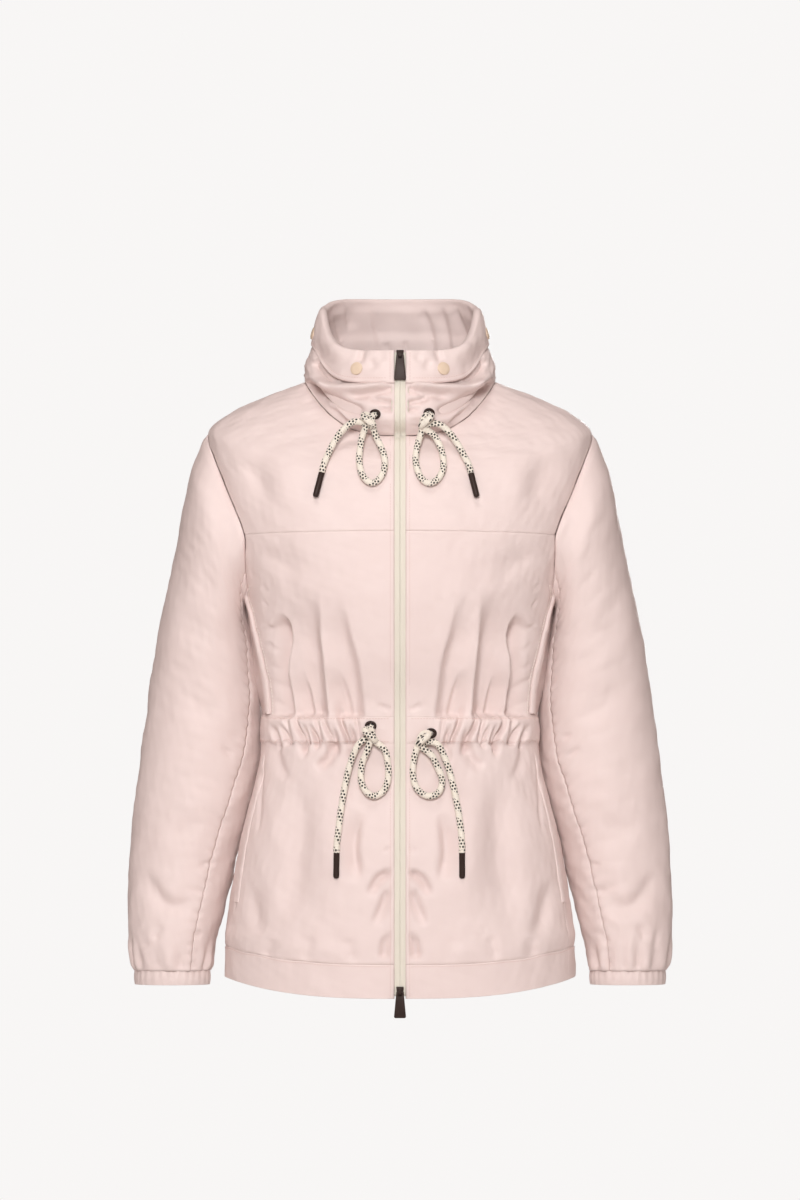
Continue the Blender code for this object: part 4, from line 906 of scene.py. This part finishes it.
def bandInside(s):
    angles = bandAngles(s)
    base, out = surface(collar, angles, s)
    half, _ = halves(angles)
    x, z = frontView(base)
    lift = -bandLook["lift"] - 1.4 * bandLook["sides"] * sideShare(half) * ease((s - 50) / 40)
    lift = lift - 2.6 * ease((93 - s) / 14) - 2.5 * ease((56 - s) / 12)
    for crease in innerCreases:
        lift = lift + ease((half - 84) / 14) * creaseLift(x, z, *crease) * ease((93 - s) / 9)
    return base + out * (lift + 0.3 * ripple(angles * collarDegree, s, 30, 41))[:, None]


outside = np.concatenate([[57.2, 57.6, 58.4, 59.6], np.linspace(61, bandLook["top"], 18)])
inside = np.linspace(bandLook["top"], bandLook["insideTo"], 34)[1:]
rows = [bandOutside(bandAngles(s), s)[0] for s in outside] + bandRim() + [bandInside(s) for s in inside]
clothPiece("collar_band", np.array(rows), "folded", 0.8)
print("collar made")

boldStitch = {"length": 2.2, "pitch": 3.6, "width": 1.3, "height": 1.0}
stitchLook = {"length": 2.3, "pitch": 3.2, "width": 0.6, "height": 0.5}


def sew(name, runs, look=stitchLook, finish="thread"):  # runs of small stitches along lines of points and normals
    bm = bmesh.new()
    size = Matrix.Diagonal((look["length"], look["width"], look["height"], 1))
    for points, out in runs:
        run = runLengths(points)
        for place in np.arange(look["pitch"] / 2, run[-1], look["pitch"]):
            start, end = (np.array([np.interp(place + d * look["length"] / 2, run, points[:, k]) for k in range(3)])
                          for d in (-1, 1))
            normal = Vector([np.interp(place, run, out[:, k]) for k in range(3)]).normalized()
            along = Vector(end - start).normalized()
            side = along.cross(normal).normalized()
            turn = Matrix((along, side, along.cross(side) * -1)).transposed().to_4x4()
            settled = Matrix.Scale(mm, 4) @ Matrix.Translation(Vector((start + end) / 2)) @ turn @ size
            bmesh.ops.create_cube(bm, size=1.0, matrix=settled)
    bmesh.ops.recalc_face_normals(bm, faces=bm.faces[:])
    addPiece(name, meshFrom(bm, name), "shell_cloth", finish=finish)


def acrossFront(s, side, count):
    inner, outer = float(angleAtX(torso, 12.0, s)), float(frontEdge(s))
    return bodyShape(flipped(np.linspace(inner, outer, count), side), s)


def acrossBack(s, count):
    edge = float(backEdge(s))
    return bodyShape(np.linspace(edge, 360 - edge, count), s)


sewing = {"waist": (274.0, 299.0), "hem": 36.0, "pleatOffset": 5.8, "pleatLift": 0.15}
zipRuns, waistRuns, pleatRuns, hemRuns = [], [], [], []
for side in (1, -1):
    for shape, table, low, high, count in ((bodyShape, torso, 2, 736, 500), (funnelShape, collar, 2, 55, 40),
                                           (bandOutside, collar, 60, 94, 30)):
        s = np.linspace(low, high, count)
        zipRuns.append(shape(flipped(angleAtX(table, stitchLine, s), side), s))
    waistRuns += [acrossFront(s, side, 300) for s in sewing["waist"]]
    hemRuns.append(acrossFront(sewing["hem"], side, 200))
    s = np.linspace(303, 448, 130)
    widen = strips["side_pleat_strip"][3] * wider(s)
    pleatRuns.append(bodyShape(flipped(frontEdge(s) - sewing["pleatOffset"] - widen, side), s, sewing["pleatLift"]))
waistRuns += [acrossBack(s, 500) for s in sewing["waist"]]
hemRuns.append(acrossBack(sewing["hem"], 400))
bandRuns = [bandOutside(np.linspace(8, 352, 500), np.full(500, bandLook["stitches"]))]
sew("zipStitches", zipRuns)
sew("waistStitches", waistRuns)
sew("pleatStitches", pleatRuns, boldStitch, "pale_thread")
sew("hemStitches", hemRuns)
sew("collarStitches", bandRuns)
print("sewing made")

zipLook = {"behind": 1.5, "neckBehind": 1.5, "neckReach": 9, "x": (0.05, 0.5, 1.2, 2.0, 2.9, 3.6, 4.6, 6.0, 7.8, 9.5),
           "bulge": (0.25, 0.45, 0.55, 0.5, 0.3, 0.05, 0.1, 0.1, 0.05, 0.0)}


def zipRow(table, s, toNeck):  # a row across one tape, deeper behind the cloth near the neck seam
    depth = zipLook["behind"] + zipLook["neckBehind"] * math.exp(-(toNeck / zipLook["neckReach"]) ** 2)
    base, out = surface(table, angleAtX(table, np.array(zipLook["x"]), s), s)
    return base + out * (np.array(zipLook["bulge"]) - depth)[:, None]


points = [zipRow(torso, s, neckSeam - s) for s in np.linspace(3, 736, 200)]
points = np.array(points + [zipRow(collar, s, s) for s in np.linspace(2, 95, 40)])
for side in (1, -1):
    clothPiece(f"zip_tape_{sideName(side)}", bySide(points, side), "stretched", 0.8, 1.0, "zip_tape")
print("zip tapes made")


def frameAt(table, s, a=0.0, lift=0.0):
    point, out = surface(table, a, s)
    point, out = Vector(point + out * lift), Vector(out)
    up = (Vector((0, 0, 1)) - out * out.z).normalized()
    return point, out, up


def settle(bm, point, out, up):  # local -Y faces out and local +Z up, in millimetres
    across = up.cross(out).normalized()
    turn = Matrix((across, -out, out.cross(across))).transposed().to_4x4()
    bmesh.ops.transform(bm, matrix=Matrix.Scale(mm, 4) @ Matrix.Translation(point) @ turn, verts=bm.verts[:])


def hardPiece(name, bm, slotName, body="jacket"):
    bmesh.ops.recalc_face_normals(bm, faces=bm.faces[:])
    mesh = meshFrom(bm, name)
    mesh.shade_smooth()
    mesh.set_sharp_from_angle(angle=math.radians(40))
    return addPiece(name, mesh, slotName, [name], body)


def roundEdges(bm, offset, segments):
    sharp = [e for e in bm.edges if len(e.link_faces) == 2 and e.calc_face_angle(0) > math.radians(30)]
    bmesh.ops.bevel(bm, geom=sharp, offset=offset, segments=segments, profile=0.5, affect="EDGES", material=-1)


def extruded(bm, faces, way):
    grown = bmesh.ops.extrude_face_region(bm, geom=faces, use_keep_orig=True)
    bmesh.ops.translate(bm, vec=way, verts=[v for v in grown["geom"] if isinstance(v, bmesh.types.BMVert)])
    bmesh.ops.recalc_face_normals(bm, faces=bm.faces[:])


sliderLook = {"width": 8.4, "thick": 3.4, "length": 11.0, "back": -1.8, "narrow": 0.74, "bailWidth": 3.0,
              "bailLength": 7.0, "bailThick": 1.2, "bailReach": 4.2, "bailFoot": -0.5, "bailCorner": 1.2}
pullLook = {"topWidth": 8.2, "endWidth": 13.4, "thick": 2.0, "length": 28.0, "eyeLength": 3.6, "eyeWidth": 3.8,
            "bar": 1.5, "clearance": 0.35, "corner": 2.0}


def sliderShape(look):
    bm = bmesh.new()
    bmesh.ops.create_cube(bm, size=1.0)
    bmesh.ops.scale(bm, vec=(look["width"], look["thick"], look["length"]), verts=bm.verts[:])
    for vert in bm.verts:
        if vert.co.z < 0:
            vert.co.x *= look["narrow"]
    bmesh.ops.translate(bm, vec=(0, -(look["back"] + look["thick"] / 2), 0), verts=bm.verts[:])
    roundEdges(bm, 0.9, 3)
    front = look["back"] + look["thick"]
    outer, reach, foot, corner = look["bailLength"] / 2, look["bailReach"], look["bailFoot"], look["bailCorner"]
    inner, gap = outer - look["bailThick"], reach - look["bailThick"]
    outline = ((-outer, foot), (-outer, reach - corner), (corner - outer, reach), (outer - corner, reach),
               (outer, reach - corner), (outer, foot), (inner, foot), (inner, gap), (-inner, gap), (-inner, foot))
    arch = bmesh.new()
    side = arch.faces.new([arch.verts.new((-look["bailWidth"] / 2, -(front + o), u)) for u, o in outline])
    extruded(arch, [side], (look["bailWidth"], 0, 0))
    roundEdges(arch, 0.3, 2)
    spare = meshFrom(arch, "spare")
    bm.from_mesh(spare)
    bpy.data.meshes.remove(spare)
    return bm


def pullShape(look):
    heights = (-look["length"], -look["bar"] / 2 - look["eyeLength"], -look["bar"] / 2, look["bar"] / 2)
    bm = bmesh.new()
    bmesh.ops.create_grid(bm, x_segments=3, y_segments=3, size=0.5)
    for vert in bm.verts:
        i, j = round((vert.co.x + 0.5) * 3), round((vert.co.y + 0.5) * 3)
        z = heights[j]
        half = look["topWidth"] / 2 + (look["endWidth"] - look["topWidth"]) / 2 * max(0.0, -z) / look["length"]
        vert.co = ((-half, -look["eyeWidth"] / 2, look["eyeWidth"] / 2, half)[i], -look["thick"] / 2, z)
    middle = Vector((0, -look["thick"] / 2, -look["bar"] / 2 - look["eyeLength"] / 2))
    eye = min(bm.faces, key=lambda f: (f.calc_center_median() - middle).length)
    bmesh.ops.delete(bm, geom=[eye], context="FACES")
    extruded(bm, bm.faces[:], (0, look["thick"], 0))
    foot = 0.1 - look["length"]
    corners = []
    for edge in bm.edges:
        a, b = (v.co for v in edge.verts)
        low = max(a.z, b.z) < foot and min(abs(a.x), abs(b.x)) > look["eyeWidth"]
        if low and a.x * b.x > 0 and abs(a.y - b.y) > 0.1:
            corners.append(edge)
    bmesh.ops.bevel(bm, geom=corners, offset=look["corner"], segments=4, profile=0.5, affect="EDGES", material=-1)
    roundEdges(bm, 0.45, 2)
    return bm


zipCollar = collar.copy()
zipCollar[-1, 1:4] = (38, 85, 99)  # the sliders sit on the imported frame's own rim
for where, table, s in (("top", zipCollar, 90.5), ("bottom", torso, 8.0)):
    point, out, up = frameAt(table, s)
    bm = sliderShape(sliderLook)
    settle(bm, point, out, up)
    hardPiece("zip_slider_" + where, bm, "dark_metal")
    reach = math.hypot(pullLook["thick"], pullLook["bar"]) / 2
    hingeOut = sliderLook["back"] + sliderLook["thick"] + (sliderLook["bailReach"] - sliderLook["bailThick"]) / 2
    hingeUp = -(sliderLook["bailLength"] / 2 - sliderLook["bailThick"] - reach - pullLook["clearance"])
    bm = pullShape(pullLook)
    settle(bm, point + out * hingeOut + up * hingeUp, out, up)
    hardPiece("zip_pull_" + where, bm, "dark_metal", "pull_" + where)
print("sliders made")

snapLift = 3.6
snapProfile = [(0.0, 2.35), (3.2, 2.3), (5.2, 2.05), (6.2, 1.6), (6.6, 1.5), (7.1, 1.2), (7.2, 0.6), (7.0, 0.0),
               (0.0, 0.0)]


def spun(profile, count):  # a turned shape about Y whose second number points out of the cloth
    bm = bmesh.new()
    line = [bm.verts.new((r, -h, 0)) for r, h in profile]
    for a, b in zip(line, line[1:]):
        bm.edges.new((a, b))
    bmesh.ops.spin(bm, geom=bm.verts[:] + bm.edges[:], cent=(0, 0, 0), axis=(0, 1, 0), angle=math.tau, steps=count,
                   use_merge=True)
    bmesh.ops.remove_doubles(bm, verts=bm.verts[:], dist=0.001)
    return bm


for place, a, s in (("front", 30.0, 73.0), ("side", 86.0, 72.0)):
    for side in (1, -1):
        bm = spun(snapProfile, 40)
        settle(bm, *frameAt(collar, s, flipped(a, side), snapLift))
        hardPiece(f"snap_{place}_{sideName(side)}", bm, "snap_cap")
print("snaps made")

eyeletLook = {"lift": 1.6, "oval": 0.87, "hole": 3.3, "holeDepth": 0.6}
eyeletProfile = [(3.1, -1.2), (3.3, 0.2), (3.9, 0.95), (4.8, 1.1), (5.8, 0.85), (6.5, 0.1), (6.4, -0.4), (3.1, -1.2)]
quarterTurn = Matrix.Rotation(math.pi / 2, 3, "X")


def eyeletShape(look):
    bm = spun(eyeletProfile, 36)
    bmesh.ops.scale(bm, vec=(1.0, 1.0, look["oval"]), verts=bm.verts[:])
    disc = bmesh.ops.create_circle(bm, cap_ends=True, segments=24, radius=look["hole"])
    bmesh.ops.rotate(bm, verts=disc["verts"], cent=(0, 0, 0), matrix=quarterTurn)
    bmesh.ops.translate(bm, verts=disc["verts"], vec=(0, look["holeDepth"], 0))
    return bm


drawstrings = {  # eyelet's sheet, side, angle and station; knot; loop; tail; aglet
    "neck_left": ("collar", -1, 14.9, 28, (-34.5, -99.6, -41.0),
                  ((-41.0, -95.6, -57.0), (-43.5, -96.5, -70.5), (-44.5, -102.0, -84.0), (-42.0, -109.5, -98.0),
                   (-36.0, -112.6, -107.0), (-29.0, -113.0, -109.5), (-21.5, -111.3, -103.5), (-16.5, -106.0, -91.5),
                   (-17.5, -100.0, -78.0), (-22.5, -96.2, -66.0), (-27.0, -95.6, -56.0)),
                  ((-50.0, -95.0, -41.5), (-60.0, -93.8, -48.5), (-68.5, -93.2, -58.5), (-75.5, -94.5, -71.0),
                   (-80.6, -98.0, -82.5)),
                  ((-84.5, -102.6, -94.0), (-92.4, -110.0, -124.3))),
    "neck_right": ("collar", 1, 17.4, 29, (29.0, -100.4, -41.0),
                   ((22.5, -95.6, -56.5), (18.8, -96.5, -68.5), (17.0, -102.4, -83.6), (20.5, -109.7, -99.0),
                    (27.0, -112.7, -108.0), (34.0, -113.0, -109.5), (42.0, -110.5, -104.0), (47.5, -105.0, -91.5),
                    (46.0, -97.6, -75.5), (40.8, -95.4, -62.5), (35.8, -95.6, -55.0)),
                   ((43.0, -95.0, -44.5), (51.5, -93.6, -51.0), (59.5, -93.2, -61.0), (66.5, -94.5, -72.5),
                    (72.3, -99.0, -84.0)),
                   ((76.5, -103.9, -94.5), (84.0, -111.4, -124.5))),
    "waist_left": ("body", -1, 10.0, 291, (-33.0, -104.5, -384.0),
                   ((-35.5, -103.2, -400.5), (-40.9, -101.8, -413.0), (-42.8, -102.6, -429.5),
                    (-39.7, -105.0, -441.5), (-30.3, -107.0, -450.5), (-19.5, -106.6, -446.5),
                    (-13.2, -104.8, -433.5), (-13.2, -102.8, -414.5), (-17.0, -103.0, -399.0)),
                   ((-45.5, -102.5, -394.0), (-51.5, -100.0, -407.0), (-55.8, -99.6, -420.5), (-60.0, -101.4, -439.0),
                    (-63.3, -103.9, -458.5), (-65.8, -106.5, -476.0), (-67.8, -108.9, -494.0)),
                   ((-69.0, -110.3, -508.2), (-69.6, -112.4, -540.1))),
    "waist_right": ("body", 1, 10.6, 283, (26.0, -104.6, -388.0),
                    ((17.0, -103.5, -402.5), (13.9, -103.2, -420.2), (15.6, -105.3, -436.5), (20.8, -106.4, -445.0),
                     (29.8, -107.0, -450.5), (40.5, -105.7, -448.3), (45.3, -104.0, -440.5), (45.6, -102.2, -429.8),
                     (41.0, -101.8, -419.0), (34.0, -103.0, -405.0)),
                    ((40.2, -103.4, -392.6), (47.4, -101.0, -405.0), (53.6, -100.0, -422.0), (59.2, -102.2, -444.0),
                     (63.8, -105.5, -468.0), (66.6, -108.6, -489.5)),
                    ((67.6, -111.0, -508.2), (67.8, -113.0, -540.1))),
}
cordSizes = {"radius": 3.6, "around": 14, "step": 1.5, "ease": 10, "exit": 1.0, "inside": 3.0, "intoAglet": 4}
agletLook = {"radius": 3.3, "lip": 3.55}
knotTurn = [(5, 2.5, -6), (2, 3.5, 5.5), (-6, 0.5, 6.5), (-2.5, -6.5, 1.5), (6, -4.5, -4.5), (5, 2.5, -7),
            (-3, 3.5, -3)]  # x, depth and z about the knot
knotEntry = (2.0, 2.5, 3.0)


def smoothLine(points, step):  # even points on a smooth curve through a route
    points = np.asarray(points, float)
    run = runLengths(points)
    tangent = np.empty_like(points)
    tangent[1:-1] = (points[2:] - points[:-2]) / (run[2:] - run[:-2])[:, None]
    tangent[0], tangent[-1] = (points[1] - points[0]) / run[1], (points[-1] - points[-2]) / (run[-1] - run[-2])
    place = np.linspace(0, run[-1], int(run[-1] / step) + 1)
    i = np.clip(np.searchsorted(run, place, side="right") - 1, 0, len(run) - 2)
    h = (run[i + 1] - run[i])[:, None]
    t = (place[:, None] - run[i][:, None]) / h
    return (points[i] * (2 * t ** 3 - 3 * t ** 2 + 1) + points[i + 1] * (3 * t ** 2 - 2 * t ** 3)
            + tangent[i] * h * (t ** 3 - 2 * t ** 2 + t) + tangent[i + 1] * h * (t ** 3 - t ** 2))


def tubePoints(line, radius, around):
    tangent = unit(np.gradient(line, axis=0))
    normal = unit(np.cross(tangent[0], np.array([0.3, 1.0, 0.2])))
    rows = []
    for p, t in zip(line, tangent):
        normal = unit(normal - t * np.dot(normal, t))
        other = np.cross(t, normal)
        turn = np.linspace(0, math.tau, around + 1)[:, None]
        rows.append(p + radius * (np.cos(turn) * normal + np.sin(turn) * other))
    return np.array(rows)


def cordMesh(name, line):  # a closed tube whose u runs once round it
    mesh = gridMesh(name, tubePoints(line, cordSizes["radius"], cordSizes["around"]))
    layer = mesh.uv_layers["UVMap"].data
    flat = np.empty(len(layer) * 2)
    layer.foreach_get("uv", flat)
    flat[::2] /= flat[::2].max()
    layer.foreach_set("uv", flat)
    bm = bmesh.new()
    bm.from_mesh(mesh)
    bmesh.ops.remove_doubles(bm, verts=bm.verts[:], dist=0.00002)
    bmesh.ops.holes_fill(bm, edges=[e for e in bm.edges if len(e.link_faces) == 1], sides=0)
    bmesh.ops.recalc_face_normals(bm, faces=bm.faces[:])
    bm.to_mesh(mesh)
    bm.free()
    return mesh


def agletShape(look, start, along, length):
    r, lip = look["radius"], look["lip"]
    profile = [(0, 0), (lip - 0.5, 0), (lip, 0.5), (lip, 1.6), (r, 2.0), (r, length - 3.0), (r - 0.35, length - 1.4),
               (r - 1.3, length - 0.3), (0, length)]
    bm = spun([(w, -h) for w, h in profile], 28)
    bmesh.ops.rotate(bm, verts=bm.verts[:], cent=(0, 0, 0), matrix=quarterTurn)
    turn = Vector(along).to_track_quat("Z", "Y").to_matrix().to_4x4()
    settled = Matrix.Scale(mm, 4) @ Matrix.Translation(Vector(start)) @ turn
    bmesh.ops.transform(bm, matrix=settled, verts=bm.verts[:])
    return bm


for name, (sheet, side, a, s, knot, loop, tail, aglet) in drawstrings.items():
    table = collar if sheet == "collar" else torso
    point, out, up = frameAt(table, s, flipped(a, side), eyeletLook["lift"])
    bm = eyeletShape(eyeletLook)
    settle(bm, point, out, up)
    hardPiece("eyelet_" + name, bm, "dark_metal")
    flip = np.array([-side, 1, 1])
    wrap = [np.array(knot) + flip * turn for turn in knotTurn]
    start, end = np.array(aglet[0]), np.array(aglet[1])
    along = unit(end - start)
    exitPoint = np.array(point) + np.array(out) * cordSizes["exit"]
    hidden = exitPoint - np.array(out) * (cordSizes["exit"] + cordSizes["inside"])
    route = [hidden, np.array(knot) + flip * knotEntry, *loop, *wrap, *tail]
    route += [start - along * 8, start + along * cordSizes["intoAglet"]]
    line = smoothLine(route, cordSizes["step"])
    for _ in range(cordSizes["ease"]):  # opens the tight bends of the knot
        line[1:-1] = line[1:-1] * 0.5 + (line[:-2] + line[2:]) * 0.25
    piece = addPiece("cord_" + name, cordMesh("cord_" + name, line), "cord_braid",
                     ["knot_" + name, "loop_" + name, "tail_" + name])
    tip = hardPiece("aglet_" + name, agletShape(agletLook, start, along, np.linalg.norm(end - start)), "dark_metal")
    line * mm

stageLook = {"pale": (0.939, 0.923, 0.914, 1), "floorZ": -1.05, "size": 14.0, "ambient": 0.2,
             "floor": (0.86, 0.84, 0.83, 1), "air": (1.0, 0.82, 0.75, 1)}


def seenPale(tree, soft):  # the camera sees one even pale tone, the jacket gets softer light from it
    flow = Sock(tree, None)
    ray = flow.node("ShaderNodeLightPath")
    even = flow.node("ShaderNodeEmission", None, {0: stageLook["pale"], 1: 1.0})
    return flow.node("ShaderNodeMixShader", None, {0: ray, 1: soft, 2: even})


floorMaterial, shader, flow = newMaterial("paleFloor", {"Roughness": 0.9, "Base Color": stageLook["floor"]})
mixed = seenPale(flow.tree, Sock(flow.tree, shader.outputs[0]))
flow.tree.links.new(mixed.socket, flow.tree.nodes["Material Output"].inputs["Surface"])
bm = bmesh.new()
bmesh.ops.create_grid(bm, x_segments=1, y_segments=1, size=stageLook["size"])
mesh = meshFrom(bm, "floor")
mesh.transform(Matrix.Translation((0, 0, stageLook["floorZ"])))
mesh.materials.append(floorMaterial)
floor = bpy.data.objects.new("floor", mesh)
scene.collection.objects.link(floor)

world = bpy.data.worlds.new("studio")
world.use_nodes = True
air = world.node_tree.nodes["Background"]
air.inputs[0].default_value = stageLook["air"]
air.inputs[1].default_value = stageLook["ambient"]
mixed = seenPale(world.node_tree, Sock(world.node_tree, air.outputs[0]))
world.node_tree.links.new(mixed.socket, world.node_tree.nodes["World Output"].inputs["Surface"])
scene.world = world
scene.view_settings.view_transform = "Standard"

lights = {  # place, size, power, colour
    "front": ((-0.2, -3.9, 1.2), 1.0, 112.0, (1, 1, 1)), "above": ((0.0, -1.4, 2.7), 1.0, 26.0, (1, 0.98, 0.97)),
    "left": ((-3.0, -1.8, 0.6), 1.2, 9.0, (1, 0.9, 0.86)), "right": ((3.0, -1.8, 0.6), 1.2, 9.0, (1, 0.9, 0.86)),
    "behind": ((0.4, 3.9, 0.3), 1.4, 95.0, (1, 1, 1))}
for name, (place, size, power, colour) in lights.items():
    lamp = bpy.data.lights.new(name, "AREA")
    lamp.size, lamp.energy, lamp.color = size, power, colour
    holder = bpy.data.objects.new(name, lamp)
    holder.location = place
    holder.rotation_euler = (Vector((0, 0, -0.3)) - Vector(place)).to_track_quat("-Z", "Y").to_euler()
    scene.collection.objects.link(holder)

lens = bpy.data.cameras.new("photoCamera")
lens.sensor_fit, lens.sensor_height = "VERTICAL", 36.0
lens.lens = 36.0 * view["distance"] / view["frameHeight"]
camera = bpy.data.objects.new("photoCamera", lens)
camera.location = (0, -view["distance"] * mm, view["height"] * mm)
camera.rotation_euler = (math.pi / 2, 0, 0)
scene.collection.objects.link(camera)
scene.camera = camera
print("stage, lights and camera made")
